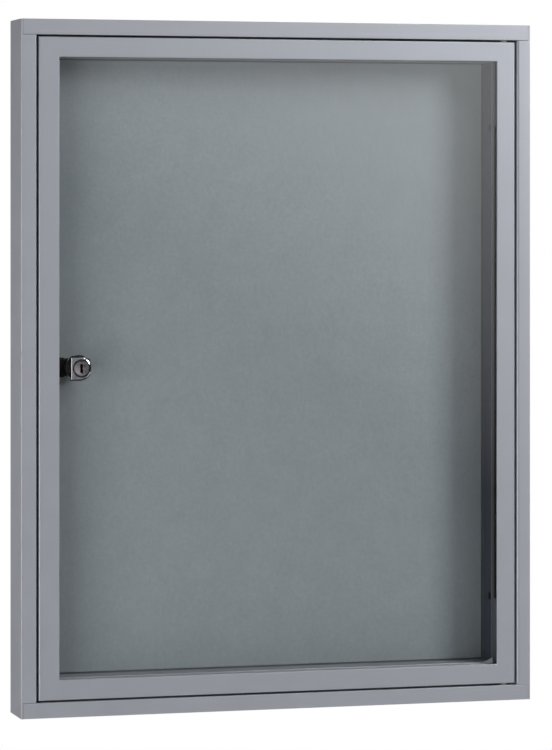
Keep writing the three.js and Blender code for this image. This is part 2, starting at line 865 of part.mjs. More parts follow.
function buildCasing() {
  const casing = new THREE.Group();
  const upright = Math.PI / 2;
  add(casing, 'casing_top_rail', casingRail(1), materials.casing, [0, 0, half_height]);
  add(casing, 'casing_bottom_rail', casingRail(-1), materials.casing, [0, 0, -half_height], [0, Math.PI, 0]);
  add(casing, 'casing_lock_stile', casingStile(lock_stile_face, edge_radius, strikeTools()),
    materials.casing, [-half_width, 0, 0], [0, -upright, 0]);
  add(casing, 'casing_hinge_stile', casingStile(hinge_stile_face, hinge_lip_radius, plugTools()),
    materials.casing, [half_width, 0, 0], [0, upright, 0]);
  for (const [side, end] of corners()) {
    const name = cornerName(side, end);
    const screw_x = side * (half_width - stile_web_middle);
    const screw_back = casing_depth - seat;
    add(casing, `corner_cleat_${name}`, casingCleat(side, end), materials.aluminium);
    add(casing, `hanger_plate_${name}`, hangerPlate(side, end), materials.zinc);
    add(casing, `hanger_screw_${name}`, screw(), materials.steel,
      [screw_x, screw_back, end * (half_height - hanger_screw_drop)]);
    add(casing, `back_sheet_screw_${name}`, screw(), materials.steel,
      [screw_x, screw_back, end * sheet_screw_height]);
  }
  return casing;
}

// The felt-faced board, the back sheet, the seals and the small fittings of the casing
function buildCasingFittings() {
  const fittings = new THREE.Group();
  const board_x = half_width - stile_return + board_rebate - board_edge_gap;
  const board_z = half_height - rail_return + board_rebate - board_edge_gap;
  const felt_front = panel_depth + seat;
  const board_front = felt_front + felt_thickness + seat;
  add(fittings, 'felt_facing', box([-board_x, board_x], [felt_front, felt_front + felt_thickness],
    [-board_z, board_z]), materials.felt);
  add(fittings, 'pin_board', box([-board_x, board_x], [board_front, web_depth], [-board_z, board_z]),
    materials.board);
  add(fittings, 'back_sheet', backSheet(), materials.aluminium);
  const seal_left = door_left + seal_inset;
  add(fittings, 'door_seal_top', railSeal(1, seal_left, window_right - seal_end_room), materials.rubber);
  add(fittings, 'door_seal_bottom', railSeal(-1, seal_left, window_right - seal_hinge_end_room),
    materials.rubber);
  add(fittings, 'door_seal_lock_side', lockSeal(), materials.rubber);
  add(fittings, 'strike_plate', strikePlate(), materials.zinc);
  const strike_x = -half_width + stile_return + strike_thickness;
  const strike_depth = (bolt_front + bolt_back) / 2;
  for (const [name, end] of [['upper', 1], ['lower', -1]]) {
    add(fittings, `strike_screw_${name}`, screw(small_screw_scale_share), materials.steel,
      [strike_x, strike_depth, end * strike_screw_height], [0, 0, -Math.PI / 2]);
    add(fittings, `side_plug_${name}`, sidePlug(), materials.blackPlastic, [0, plug_depth, end * plug_height]);
  }
  add(fittings, 'pivot_bush_top', pivotBush(1), materials.nylon);
  add(fittings, 'pivot_bush_bottom', pivotBush(-1), materials.nylon);
  return fittings;
}

function buildDoor() {
  const door = new THREE.Group();
  const upright = Math.PI / 2;
  const half = door_width / 2;
  const rail = (side, left_face, right_face) =>
    doorMember(door_width, door_rail_face, left_face, right_face, pinHole(side));
  const stile = (face) => doorMember(door_height, face, door_rail_face, door_rail_face);
  add(door, 'door_top_rail', rail(1, door_lock_face, door_hinge_face), materials.door, [0, 0, door_top]);
  add(door, 'door_bottom_rail', rail(-1, door_hinge_face, door_lock_face), materials.door,
    [0, 0, -door_top], [0, Math.PI, 0]);
  add(door, 'door_lock_stile', stile(door_lock_face), materials.door, [-half, 0, 0], [0, -upright, 0]);
  add(door, 'door_hinge_stile', stile(door_hinge_face), materials.door, [half, 0, 0], [0, upright, 0]);
  for (const [side, end] of corners()) {
    add(door, `door_cleat_${cornerName(side, end)}`, doorCleat(side, end), materials.aluminium);
  }
  add(door, 'glass_pane', glassPane(), materials.glass);
  const long_bar = (face) => glazingBar(face, glazing_bar_length, glazing_bar_setback);
  const rail_bar = glazingBar(door_rail_face, glazing_rail_bar_length, glazing_rail_bar_setback);
  add(door, 'glazing_bar_hinge_side', long_bar(door_hinge_face), materials.blackPlastic,
    [half, 0, 0], [0, upright, 0]);
  add(door, 'glazing_bar_lock_side', long_bar(door_lock_face), materials.blackPlastic,
    [-half, 0, 0], [0, -upright, 0]);
  add(door, 'glazing_bar_top', rail_bar, materials.blackPlastic, [0, 0, door_top]);
  add(door, 'glazing_bar_bottom', rail_bar.clone(), materials.blackPlastic, [0, 0, -door_top], [0, Math.PI, 0]);
  add(door, 'pivot_pin_top', pivotPin(1), materials.steel);
  add(door, 'pivot_pin_bottom', pivotPin(-1), materials.steel);
  add(door, 'pivot_bracket', pivotBracket(), materials.door);
  return door;
}

function buildLock() {
  const lock = new THREE.Group();
  const ring_bore = barrel_radius + running_gap;
  add(lock, 'lock_housing', lockHousing(), materials.chrome);
  add(lock, 'lock_washer', ring(washer_radius, ring_bore, washer_front, washer_front + washer_thickness),
    materials.rubber);
  add(lock, 'lock_nut', lockNut(), materials.chrome);
  add(lock, 'lock_plug', lockPlug(), materials.chrome);
  add(lock, 'lock_drive_disc', driveDisc(), materials.steel);
  add(lock, 'lock_case', lockCase(), materials.blackPlastic);
  add(lock, 'lock_bolt', lockBolt(), materials.steel);
  add(lock, 'lock_cover', lockCover(), materials.blackPlastic);
  for (const [name, [x, y, z]] of Object.entries(coverScrewPlaces())) {
    add(lock, `lock_cover_screw_${name}`, screw(small_screw_scale_share), materials.steel, [x, y - seat, z]);
  }
  return lock;
}

// The notice board: casing and door share the front face, and the lock sits on the door
const board = new THREE.Group();
const door = buildDoor();
const lock = buildLock();
door.position.x = door_centre;
lock.position.x = lock_x - door_centre;
door.add(lock);
board.add(buildCasing(), buildCasingFittings(), door);
board.position.y = -casing_depth;

export default board;
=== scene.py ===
"""Lockable wall notice board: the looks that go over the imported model.

Sizes are in millimetres and angles in degrees, unless a docstring says otherwise.
"""

import json
import logging
import math
from contextlib import contextmanager
from dataclasses import dataclass, field
from enum import Enum
from functools import cache, reduce
from typing import Callable, Iterable, Iterator, Sequence

import bmesh
import bpy
from mathutils import Matrix, Vector

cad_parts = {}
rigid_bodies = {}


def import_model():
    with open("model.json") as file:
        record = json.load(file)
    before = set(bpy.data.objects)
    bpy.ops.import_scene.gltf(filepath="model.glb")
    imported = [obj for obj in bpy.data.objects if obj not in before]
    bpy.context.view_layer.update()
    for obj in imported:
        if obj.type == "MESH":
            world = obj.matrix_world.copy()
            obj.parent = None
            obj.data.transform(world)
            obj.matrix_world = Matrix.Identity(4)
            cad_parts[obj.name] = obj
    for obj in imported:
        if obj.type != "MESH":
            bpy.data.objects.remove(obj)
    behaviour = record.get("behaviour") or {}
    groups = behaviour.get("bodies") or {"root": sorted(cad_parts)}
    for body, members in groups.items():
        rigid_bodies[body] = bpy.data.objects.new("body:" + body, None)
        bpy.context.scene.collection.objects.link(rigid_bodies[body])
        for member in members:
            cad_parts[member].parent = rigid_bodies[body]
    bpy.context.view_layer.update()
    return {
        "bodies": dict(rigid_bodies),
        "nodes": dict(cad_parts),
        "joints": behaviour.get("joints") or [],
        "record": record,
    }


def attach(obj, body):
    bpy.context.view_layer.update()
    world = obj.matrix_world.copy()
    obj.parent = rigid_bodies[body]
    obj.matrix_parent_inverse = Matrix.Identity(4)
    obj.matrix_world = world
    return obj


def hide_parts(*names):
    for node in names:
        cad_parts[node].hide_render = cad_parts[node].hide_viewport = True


LOG = logging.getLogger("notice_board")
MM = 0.001  # a millimetre in metres
MERGE = 0.002  # points nearer than this are one
NEAR = 0.01  # tolerance for picking edges and faces by their place
GAP = 0.2  # clearance between neighbouring parts
OVER = 2  # how far a cutter stands out of what it cuts
SHARP = 25  # least angle of an edge that can be picked for rounding
SMOOTH = 35  # angle below which neighbouring faces are shaded as one
CUT_ANGLE = 50  # least angle that soften rounds on pieces with turned or rounded parts
HOLE_STEPS = 32  # segments round holes and screws
PIN_STEPS = 40  # segments round pins, bushes and plugs
LOCK_STEPS = 64  # segments round the parts of the lock
Point = tuple[float, float]
Corner = tuple[float, float, float]
Spot = tuple[float, float, float]
Colour = tuple[float, float, float]
Piece = bpy.types.Object
Socket = bpy.types.NodeSocket
Inputs = dict[str | int, float | Sequence[float] | Socket]


class Axis(Enum):
    """The axis that a prism or a turned piece lies along."""

    X = 0
    Y = 1
    Z = 2

    def place(self, across: float, up: float, along: float) -> Vector:
        """Places a point of a section in space.

        Args:
            across: First coordinate of the section.
            up: Second coordinate of the section.
            along: Place along the axis.

        Returns:
            The point in metres.
        """
        spot = [across, up]
        spot.insert(self.value, along)
        return Vector(spot) * MM

    def vector(self) -> Vector:
        """Returns the axis as a unit vector."""
        return Vector([1.0 if index == self.value else 0.0 for index in range(3)])


class Body(Enum):
    """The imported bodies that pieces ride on."""

    CASING = "casing"
    DOOR = "door"
    PLUG = "plug"
    BOLT = "bolt"


class Side(Enum):
    """The two upright sides of the board."""

    LOCK = -1
    HINGE = 1


class End(Enum):
    """The two ends of the board's height."""

    TOP = 1
    BOTTOM = -1


class Way(Enum):
    """What is done with the tools of a boolean."""

    CUT = "DIFFERENCE"
    JOIN = "UNION"


CORNERS = [(side, end) for end in End for side in Side]


def corner_name(side: Side, end: End) -> str:
    """Returns the name that the model gives to a corner."""
    return f"{end.name.lower()}_{side.name.lower()}"


# Modelling


def clear_selection() -> None:
    """Leaves edit mode and deselects everything."""
    if bpy.context.object and bpy.context.object.mode != "OBJECT":
        bpy.ops.object.mode_set(mode="OBJECT")
    bpy.ops.object.select_all(action="DESELECT")


def activate(piece: Piece) -> None:
    """Selects one object alone and makes it the active one.

    Args:
        piece: The object to work on.
    """
    clear_selection()
    piece.select_set(True)
    bpy.context.view_layer.objects.active = piece


@contextmanager
def editing(piece: Piece) -> Iterator[bmesh.types.BMesh]:
    """Opens a piece in edit mode with all of it selected, and closes it afterwards.

    Args:
        piece: The object to work on.

    Yields:
        Its mesh.
    """
    activate(piece)
    bpy.ops.object.mode_set(mode="EDIT")
    bpy.ops.mesh.select_all(action="SELECT")
    yield bmesh.from_edit_mesh(piece.data)
    bpy.ops.object.mode_set(mode="OBJECT")


def modify(piece: Piece, kind: str, **settings: object) -> None:
    """Adds a modifier to a piece and applies it.

    Args:
        piece: The object to work on.
        kind: Type of the modifier.
        **settings: Properties of the modifier.
    """
    modifier = piece.modifiers.new(kind.lower(), kind)
    for key, value in settings.items():
        setattr(modifier, key, value)
    activate(piece)
    bpy.ops.object.modifier_apply(modifier=modifier.name)


def named(piece: Piece, name: str) -> Piece:
    """Gives a new object and its mesh their name."""
    piece.name = piece.data.name = name
    return piece


def fillet(corners: Sequence[Corner], steps: int = 5) -> list[Point]:
    """Rounds the corners of an outline.

    Args:
        corners: Points of the outline, each with the radius of its corner.
        steps: Segments in a rounded corner.

    Returns:
        The outline with an arc in place of each corner that has a radius.
    """
    outline: list[Point] = []
    for index, (u, v, radius) in enumerate(corners):
        here = Vector((u, v))
        if radius <= 0:
            outline.append((u, v))
            continue
        before = (Vector(corners[index - 1][:2]) - here).normalized()
        after = (Vector(corners[(index + 1) % len(corners)][:2]) - here).normalized()
        half_angle = before.angle(after) / 2
        reach = radius / math.tan(half_angle)
        centre = here + (before + after).normalized() * (radius / math.sin(half_angle))
        first = here + before * reach - centre
        last = here + after * reach - centre
        turn = first.angle_signed(last)
        for step in range(steps + 1):
            spoke = Matrix.Rotation(-turn * step / steps, 2) @ first
            outline.append((centre.x + spoke.x, centre.y + spoke.y))
    return outline


def rectangle(middle: float, half_width: float, half_height: float, radius: float) -> list[Point]:
    """Draws a rectangle with rounded corners.

    Args:
        middle: Its middle across; its middle up is at nought.
        half_width: Half its width.
        half_height: Half its height.
        radius: Radius of its corners.

    Returns:
        The outline.
    """
    left, right = middle - half_width, middle + half_width
    return fillet([
        (left, -half_height, radius), (right, -half_height, radius),
        (right, half_height, radius), (left, half_height, radius),
    ])


def arc(centre: Point, radius: float, start: float, sweep: float, steps: int) -> list[Point]:
    """Draws an arc.

    Args:
        centre: Its centre.
        radius: Its radius.
        start: Angle of its first point, in radians.
        sweep: Angle from its first to its last point, in radians.
        steps: Segments in it.

    Returns:
        Its points.
    """
    angles = [start + sweep * step / steps for step in range(steps + 1)]
    return [(centre[0] + radius * math.cos(a), centre[1] + radius * math.sin(a)) for a in angles]


def tidy_shell(piece: Piece) -> None:
    """Merges doubles and turns every face of a closed mesh outwards.

    Args:
        piece: The object to work on.
    """
    with editing(piece):
        bpy.ops.mesh.remove_doubles(threshold=MERGE * MM)
        bpy.ops.mesh.dissolve_degenerate(threshold=MERGE * MM)
        bpy.ops.mesh.normals_make_consistent(inside=False)


def ring_of_points(name: str, points: Sequence[Vector], fill: str) -> Piece:
    """Adds a circle and draws it out to the given points.

    Args:
        name: Name of the new piece.
        points: Places of its vertices, in order, in metres.
        fill: Fill type of the circle.

    Returns:
        The new object, active and in object mode.
    """
    clear_selection()
    bpy.ops.mesh.primitive_circle_add(vertices=len(points), radius=MM, fill_type=fill, location=(0, 0, 0))
    piece = named(bpy.context.object, name)
    for vertex, point in zip(piece.data.vertices, points):
        vertex.co = point
    piece.data.update()
    return piece


def prism(name: str, axis: Axis, outline: Sequence[Point], start: float, end: float) -> Piece:
    """Extrudes an outline along an axis.

    Args:
        name: Name of the new piece.
        axis: The axis it lies along.
        outline: Points of the section.
        start: Where it starts along the axis.
        end: Where it ends along the axis.

    Returns:
        A closed solid.
    """
    piece = ring_of_points(name, [axis.place(u, v, start) for u, v in outline], "NGON")
    with editing(piece):
        move = axis.vector() * (end - start) * MM
        bpy.ops.mesh.extrude_region_move(TRANSFORM_OT_translate={"value": move})
        bpy.ops.mesh.select_all(action="SELECT")
        bpy.ops.mesh.normals_make_consistent(inside=False)
    return piece


def block(name: str, low: Spot, high: Spot) -> Piece:
    """Adds a cube between two corners.

    Args:
        name: Name of the new piece.
        low: Its lowest corner.
        high: Its highest corner.

    Returns:
        A closed solid.
    """
    clear_selection()
    bpy.ops.mesh.primitive_cube_add(size=1, location=(0, 0, 0))
    piece = named(bpy.context.object, name)
    size = [(b - a) * MM for a, b in zip(low, high)]
    middle = [(a + b) / 2 * MM for a, b in zip(low, high)]
    piece.data.transform(Matrix.Translation(middle) @ Matrix.Diagonal((*size, 1)))
    return piece


def turned(name: str, axis: Axis, profile: Sequence[Point], centre: Spot, steps: int) -> Piece:
    """Spins a profile round an axis.

    Args:
        name: Name of the new piece.
        axis: The axis of the turned piece.
        profile: Radius and place along the axis of each point. It is closed, or its first and last
            points are on the axis.
        centre: A point of the axis, from which the places along it are counted.
        steps: Segments round the axis.

    Returns:
        A closed solid.
    """
    base = Vector(centre) * MM
    out = (Axis.Y if axis is Axis.X else Axis.X).vector()
    points = [base + axis.place(0, 0, along) + out * radius * MM for radius, along in profile]
    piece = ring_of_points(name, points, "NOTHING")
    with editing(piece) as shell:
        on_axis = [edge for edge in shell.edges if all(profile[end.index][0] == 0 for end in edge.verts)]
        bmesh.ops.delete(shell, geom=on_axis, context="EDGES_FACES")
        bmesh.update_edit_mesh(piece.data)
        bpy.ops.mesh.select_all(action="SELECT")
        bpy.ops.mesh.spin(steps=steps, angle=2 * math.pi, center=base, axis=axis.vector())
    tidy_shell(piece)
    return piece


def rod(axis: Axis, radius: float, ends: Sequence[float], centre: Spot, steps: int) -> Piece:
    """Models a round cutter.

    Args:
        axis: Its axis.
        radius: Its radius.
        ends: Where it starts and ends along the axis.
        centre: A point of the axis, from which the places along it are counted.
        steps: Segments round the axis.

    Returns:
        A closed solid.
    """
    start, end = ends
    return turned("rod", axis, [(0, start), (radius, start), (radius, end), (0, end)], centre, steps)


def countersink(axis: Axis, radii: Point, places: Spot, centre: Spot) -> Piece:
    """Models the cutter of a countersunk hole that opens towards the end of an axis.

    Args:
        axis: Its axis.
        radii: Radius of the hole and of its mouth.
        places: Where the hole starts, where it widens and where it is as wide as its mouth.
        centre: A point of the axis, from which the places along it are counted.

    Returns:
        A closed solid.
    """
    (hole, mouth), (start, widens, wide) = radii, places
    profile = [(0, start), (hole, start), (hole, widens), (mouth, wide), (mouth, OVER), (0, OVER)]
    return turned("sink", axis, profile, centre, HOLE_STEPS)


def combine(piece: Piece, tools: Iterable[Piece], way: Way = Way.CUT) -> None:
    """Cuts tools out of a piece, or joins them to it, and removes them.

    Args:
        piece: The piece that is changed.
        tools: Closed solids that are used up.
        way: What is done with them.
    """
    for tool in tools:
        modify(piece, "BOOLEAN", operation=way.value, solver="EXACT", object=tool)
        bpy.data.meshes.remove(tool.data)


def bevel_edges(piece: Piece, test: Callable[[Vector, Vector], bool], width: float, segments: int) -> None:
    """Rounds the edges that a test picks.

    Args:
        piece: The piece to work on.
        test: Takes the two ends of an edge and says whether to round it.
        width: Width of the rounding.
        segments: Segments of the rounding.
    """
    with editing(piece) as shell:
        bpy.ops.mesh.select_mode(type="EDGE")
        bpy.ops.mesh.select_all(action="DESELECT")
        for edge in shell.edges:
            ends = [vertex.co / MM for vertex in edge.verts]
            sharp = len(edge.link_faces) == 2 and edge.calc_face_angle() > math.radians(SHARP)
            edge.select_set(sharp and test(*ends))
        bmesh.update_edit_mesh(piece.data)
        bpy.ops.mesh.bevel(offset=width * MM, segments=segments, affect="EDGES", clamp_overlap=True)


def soften(piece: Piece, width: float, segments: int = 2, angle: float = 40) -> None:
    """Rounds every sharp edge of a piece a little.

    Args:
        piece: The piece to work on.
        width: Width of the rounding.
        segments: Segments of the rounding.
        angle: Least angle between two faces that counts as sharp.
    """
    modify(piece, "BEVEL", width=width * MM, segments=segments, limit_method="ANGLE",
           angle_limit=math.radians(angle))


def even_shading(piece: Piece) -> None:
    """Shades a piece smooth, with its broad faces kept flat beside rounded edges.

    Args:
        piece: The piece to shade.
    """
    activate(piece)
    bpy.ops.object.shade_smooth_by_angle(angle=math.radians(SMOOTH))
    modify(piece, "WEIGHTED_NORMAL", keep_sharp=True, weight=100)


def slice_off(piece: Piece, point: Spot, normal: Spot) -> None:
    """Cuts a piece with a plane and closes it again.

    Args:
        piece: The piece to cut.
        point: A point of the plane.
        normal: Points to the side that is cut away.
    """
    with editing(piece):
        bpy.ops.mesh.bisect(
            plane_co=Vector(point) * MM, plane_no=Vector(normal).normalized(), use_fill=True, clear_outer=True
        )


def copy_of(piece: Piece, name: str, move: Matrix) -> Piece:
    """Copies a piece with a mesh of its own, moved to its place.

    Args:
        piece: The piece that is copied.
        name: Name of the copy.
        move: Where the copy goes, in metres.

    Returns:
        The copy.
    """
    double = named(bpy.data.objects.new(name, piece.data.copy()), name)
    bpy.context.collection.objects.link(double)
    double.data.transform(move)
    return double


# Finishes


class NodeBook:
    """The shader nodes of one material or of the world."""

    def __init__(self, tree: bpy.types.NodeTree) -> None:
        """Starts with an empty tree."""
        self.tree = tree
        self.tree.nodes.clear()

    def fill(self, node: bpy.types.Node, inputs: Inputs) -> None:
        """Sets inputs of a node to numbers and colours, or links them to sockets.

        Args:
            node: The node.
            inputs: What goes into each of them, by name or number.
        """
        for key, value in inputs.items():
            if isinstance(value, Socket):
                self.tree.links.new(value, node.inputs[key])
            else:
                node.inputs[key].default_value = value

    def add(self, kind: str, inputs: Inputs, **settings: object) -> bpy.types.Node:
        """Adds a node.

        Args:
            kind: Type of the node.
            inputs: What goes into it.
            **settings: Properties of the node.

        Returns:
            The new node.
        """
        node = self.tree.nodes.new(kind)
        for key, value in settings.items():
            setattr(node, key, value)
        self.fill(node, inputs)
        return node

    @cache
    def coordinates(self) -> Socket:
        """Returns the object coordinates."""
        return self.add("ShaderNodeTexCoord", {}).outputs["Object"]

    @cache
    def rays(self) -> bpy.types.NodeOutputs:
        """Returns the outputs that tell how a ray came."""
        return self.add("ShaderNodeLightPath", {}).outputs

    def place(self, stretch: Spot, turn: Spot) -> Socket:
        """Gives object coordinates, turned and stretched.

        Args:
            stretch: Scale along each axis.
            turn: Turn round each axis.

        Returns:
            The socket that carries them.
        """
        angles = [math.radians(angle) for angle in turn]
        inputs = {"Vector": self.coordinates(), "Rotation": angles, "Scale": stretch}
        return self.add("ShaderNodeMapping", inputs).outputs["Vector"]

    def noise(self, scale: float, detail: float, stretch: Spot = (1, 1, 1), turn: Spot = (0, 0, 0)) -> Socket:
        """Adds a noise pattern.

        Args:
            scale: Waves in a metre.
            detail: How many finer layers it has.
            stretch: Scale along each axis.
            turn: Turn round each axis.

        Returns:
            Its grey value.
        """
        inputs = {"Scale": scale, "Detail": detail, "Vector": self.place(stretch, turn)}
        return self.add("ShaderNodeTexNoise", inputs).outputs["Fac"]

    def cells(self, scale: float) -> Socket:
        """Returns a pattern of cells, with so many of them in a metre."""
        inputs = {"Scale": scale, "Vector": self.place((1, 1, 1), (0, 0, 0))}
        return self.add("ShaderNodeTexVoronoi", inputs).outputs["Distance"]

    def range(self, value: Socket, low: float, high: float, edges: Point = (0.3, 0.7)) -> Socket:
        """Maps a grey value to a range.

        Args:
            value: The value that is mapped.
            low: What the lower edge becomes.
            high: What the upper edge becomes.
            edges: The values between which it changes.

        Returns:
            The mapped value.
        """
        inputs = {"Value": value, "From Min": edges[0], "From Max": edges[1], "To Min": low, "To Max": high}
        return self.add("ShaderNodeMapRange", inputs).outputs["Result"]

    def math(self, operation: str, *parts: float | Socket) -> Socket:
        """Returns what an operation makes of numbers and sockets."""
        return self.add("ShaderNodeMath", dict(enumerate(parts)), operation=operation).outputs[0]

    def mean(self, first: Socket, *others: Socket) -> Socket:
        """Returns the mean of several grey values."""
        total = reduce(lambda one, other: self.math("ADD", one, other), others, first)
        return self.math("DIVIDE", total, len(others) + 1)

    def sum(self, value: Socket, factor: float | Socket, offset: float | Socket) -> Socket:
        """Returns a value multiplied by a factor, with an offset added."""
        return self.math("MULTIPLY_ADD", value, factor, offset)

    def seen(self) -> Socket:
        """Tells what the camera sees from what lights the board or is mirrored.

        Returns:
            1 for a ray from the camera, straight or through glass, and else 0.
        """
        rays = self.rays()
        bounced = self.sum(rays["Glossy Depth"], 1, rays["Diffuse Depth"])
        through = self.sum(rays["Is Transmission Ray"], self.range(bounced, 1, 0), 0)
        return self.math("MAXIMUM", rays["Is Camera Ray"], through)

    def blend(self, share: Socket, first: Colour, second: Colour) -> Socket:
        """Mixes two colours.

        Args:
            share: How much of the second colour shows.
            first: The first colour, linear.
            second: The second colour, linear.

        Returns:
            The mixed colour.
        """
        inputs = {0: share, 6: (*first, 1), 7: (*second, 1)}
        return self.add("ShaderNodeMix", inputs, data_type="RGBA").outputs[2]

    def bump(self, height: Socket, depth: float, under: Socket | None = None) -> Socket:
        """Adds relief.

        Args:
            height: The height pattern.
            depth: Height of the relief.
            under: A coarser relief below it.

        Returns:
            The bent normal.
        """
        coarser = {} if under is None else {"Normal": under}
        inputs = {"Distance": depth * MM, "Height": height, **coarser}
        return self.add("ShaderNodeBump", inputs).outputs["Normal"]

    def layer(self, share: Socket, first: Socket, second: Socket) -> Socket:
        """Returns a mix of two shaders, with so much of the second."""
        return self.add("ShaderNodeMixShader", {0: share, 1: first, 2: second}).outputs["Shader"]


def linear(red: float, green: float, blue: float) -> Colour:
    """Turns a colour from display values of 0 to 255 into linear light.

    Args:
        red: Red value.
        green: Green value.
        blue: Blue value.

    Returns:
        The linear colour.
    """
    shares = [value / 255 for value in (red, green, blue)]
    values = [share / 12.92 if share <= 0.04045 else ((share + 0.055) / 1.055) ** 2.4 for share in shares]
    return (values[0], values[1], values[2])


def tint(colour: Colour, red: float, green: float, blue: float) -> Colour:
    """Returns a colour with each of its parts made lighter or darker by a factor."""
    return (colour[0] * red, colour[1] * green, colour[2] * blue)


@dataclass(frozen=True)
class Finish:
    """What a surface is made of and how it is finished, with patterns in waves to the metre."""

    name: str
    slot: str
    colour: Colour
    roughness: float = 0.5
    metallic: float = 0.0

    @cache
    def material(self) -> bpy.types.Material:
        """Makes the material, once for all the pieces that have it.

        Returns:
            The material.
        """
        made = bpy.data.materials.new(self.name)
        made.use_nodes = True
        made.diffuse_color = (*self.colour, 1)
        book = NodeBook(made.node_tree)
        plain = {"Base Color": (*self.colour, 1), "Roughness": self.roughness, "Metallic": self.metallic}
        surface = book.add("ShaderNodeBsdfPrincipled", plain)
        book.fill(surface, self.detail(book))
        book.add("ShaderNodeOutputMaterial", {"Surface": self.cover(book, surface.outputs["BSDF"])})
        return made

    def detail(self, book: NodeBook) -> Inputs:
        """Returns the inputs of the main shader that the finish sets or patterns."""
        return {}

    def cover(self, book: NodeBook, surface: Socket) -> Socket:
        """Returns the shader that the material ends in."""
        return surface

    def shades(
        self, book: NodeBook, tone: Socket, low: float, high: float, edges: Point = (0.3, 0.7)
    ) -> Socket:
        """Lets a pattern shade the colour.

        Args:
            book: The material's nodes.
            tone: The pattern.
            low: Factor of the darkest shade.
            high: Factor of the lightest shade.
            edges: The values of the pattern between which it changes.

        Returns:
            The shaded colour.
        """
        darkest, lightest = (tint(self.colour, factor, factor, factor) for factor in (low, high))
        return book.blend(book.range(tone, 0, 1, edges), darkest, lightest)

    def dulls(self, book: NodeBook, tone: Socket, less: float, more: float) -> Socket:
        """Returns the roughness, made a little less and more by a pattern."""
        return book.range(tone, self.roughness - less, self.roughness + more)


@dataclass(frozen=True)
class PowderCoat(Finish):
    """Satin powder coat with a fine peel, faint clouds and specks of metal."""

    peel: float = 0.02
    gloss: float = 0.5
    clouds: float = 14
    specks: float = 2600
    patches: float = 60
    ripples: Point = (420, 1900)

    def detail(self, book: NodeBook) -> Inputs:
        """Patterns the coat with clouds, specks, duller patches and the peel.

        Args:
            book: The material's nodes.

        Returns:
            The inputs of the main shader.
        """
        tone = book.mean(book.noise(self.clouds, 4), book.noise(self.specks, 1))
        coarse, fine = (book.noise(ripple, 2) for ripple in self.ripples)
        return {
            "Base Color": self.shades(book, tone, 0.965, 1.035),
            "Roughness": self.dulls(book, book.noise(self.patches, 3), 0.03, 0.04),
            "Normal": book.bump(fine, self.peel / 4, book.bump(coarse, self.peel)),
            "Specular IOR Level": self.gloss,
        }


@dataclass(frozen=True)
class Felt(Finish):
    """Pressed felt: short fibres that lie every way, with a soft sheen."""

    nap: float = 0.12
    fibres: float = 900
    fibre_stretch: Spot = (1, 1, 0.16)
    fibre_turns: Spot = (15, 75, 135)
    wool: float = 420
    patches: float = 40
    sheen: float = 0.12

    def detail(self, book: NodeBook) -> Inputs:
        """Patterns the felt with fibres in three directions and uneven wool.

        Args:
            book: The material's nodes.

        Returns:
            The inputs of the main shader.
        """
        fibres = [book.noise(self.fibres, 2, self.fibre_stretch, (0, turn, 0)) for turn in self.fibre_turns]
        weave, wool = book.mean(*fibres), book.noise(self.wool, 3)
        tone = book.mean(weave, weave, wool, wool, book.noise(self.patches, 3))
        return {
            "Base Color": self.shades(book, tone, 0.93, 1.07, (0.38, 0.62)),
            "Normal": book.bump(weave, self.nap, book.bump(wool, self.nap)),
            "Sheen Weight": self.sheen,
            "Sheen Roughness": 0.6,
        }


@dataclass(frozen=True)
class Brushed(Finish):
    """Metal with fine lines along one axis."""

    stretch: Spot = (0.02, 1, 1)
    depth: float = 0.004
    lines: float = 2400
    stains: float = 30

    def detail(self, book: NodeBook) -> Inputs:
        """Patterns the metal with fine lines and faint stains.

        Args:
            book: The material's nodes.

        Returns:
            The inputs of the main shader.
        """
        lines = book.noise(self.lines, 2, self.stretch)
        return {
            "Base Color": self.shades(book, book.mean(lines, book.noise(self.stains, 3)), 0.88, 1.06),
            "Roughness": self.dulls(book, lines, 0.06, 0.1),
            "Normal": book.bump(lines, self.depth),
        }


@dataclass(frozen=True)
class ZincPlate(Finish):
    """Zinc plate with a faint bluish and yellowish bloom."""

    warm: Colour = (1.04, 1, 0.88)
    cool: Colour = (0.9, 0.97, 1.06)
    bloom: float = 22
    grain: float = 1500
    depth: float = 0.004

    def detail(self, book: NodeBook) -> Inputs:
        """Patterns the plate with its bloom and fine grain.

        Args:
            book: The material's nodes.

        Returns:
            The inputs of the main shader.
        """
        bloom, grain = book.range(book.noise(self.bloom, 4), 0, 1), book.noise(self.grain, 2)
        return {
            "Base Color": book.blend(bloom, tint(self.colour, *self.cool), tint(self.colour, *self.warm)),
            "Roughness": self.dulls(book, grain, 0.07, 0.07),
            "Normal": book.bump(grain, self.depth),
        }


@dataclass(frozen=True)
class Polished(Finish):
    """Polished chrome with hardly visible ripples and finger haze."""

    haze: float = 260
    ripples: float = 190
    depth: float = 0.004

    def detail(self, book: NodeBook) -> Inputs:
        """Patterns the chrome with ripples and haze.

        Args:
            book: The material's nodes.

        Returns:
            The inputs of the main shader.
        """
        haze = book.noise(self.haze, 4)
        return {
            "Base Color": self.shades(book, haze, 1, 0.95),
            "Roughness": book.range(haze, self.roughness * 0.6, self.roughness * 1.6),
            "Normal": book.bump(book.noise(self.ripples, 1), self.depth),
        }


@dataclass(frozen=True)
class Moulded(Finish):
    """Moulded plastic or rubber with a fine grain."""

    grain: float = 1400
    depth: float = 0.02
    gloss: float = 0.5
    clouds: float = 120

    def detail(self, book: NodeBook) -> Inputs:
        """Patterns the moulding with its grain.

        Args:
            book: The material's nodes.

        Returns:
            The inputs of the main shader.
        """
        cells, clouds = book.cells(self.grain), book.noise(self.clouds, 3)
        return {
            "Base Color": self.shades(book, book.mean(cells, clouds), 0.8, 1.25),
            "Roughness": self.dulls(book, clouds, 0.05, 0.08),
            "Normal": book.bump(cells, self.depth),
            "Specular IOR Level": self.gloss,
        }


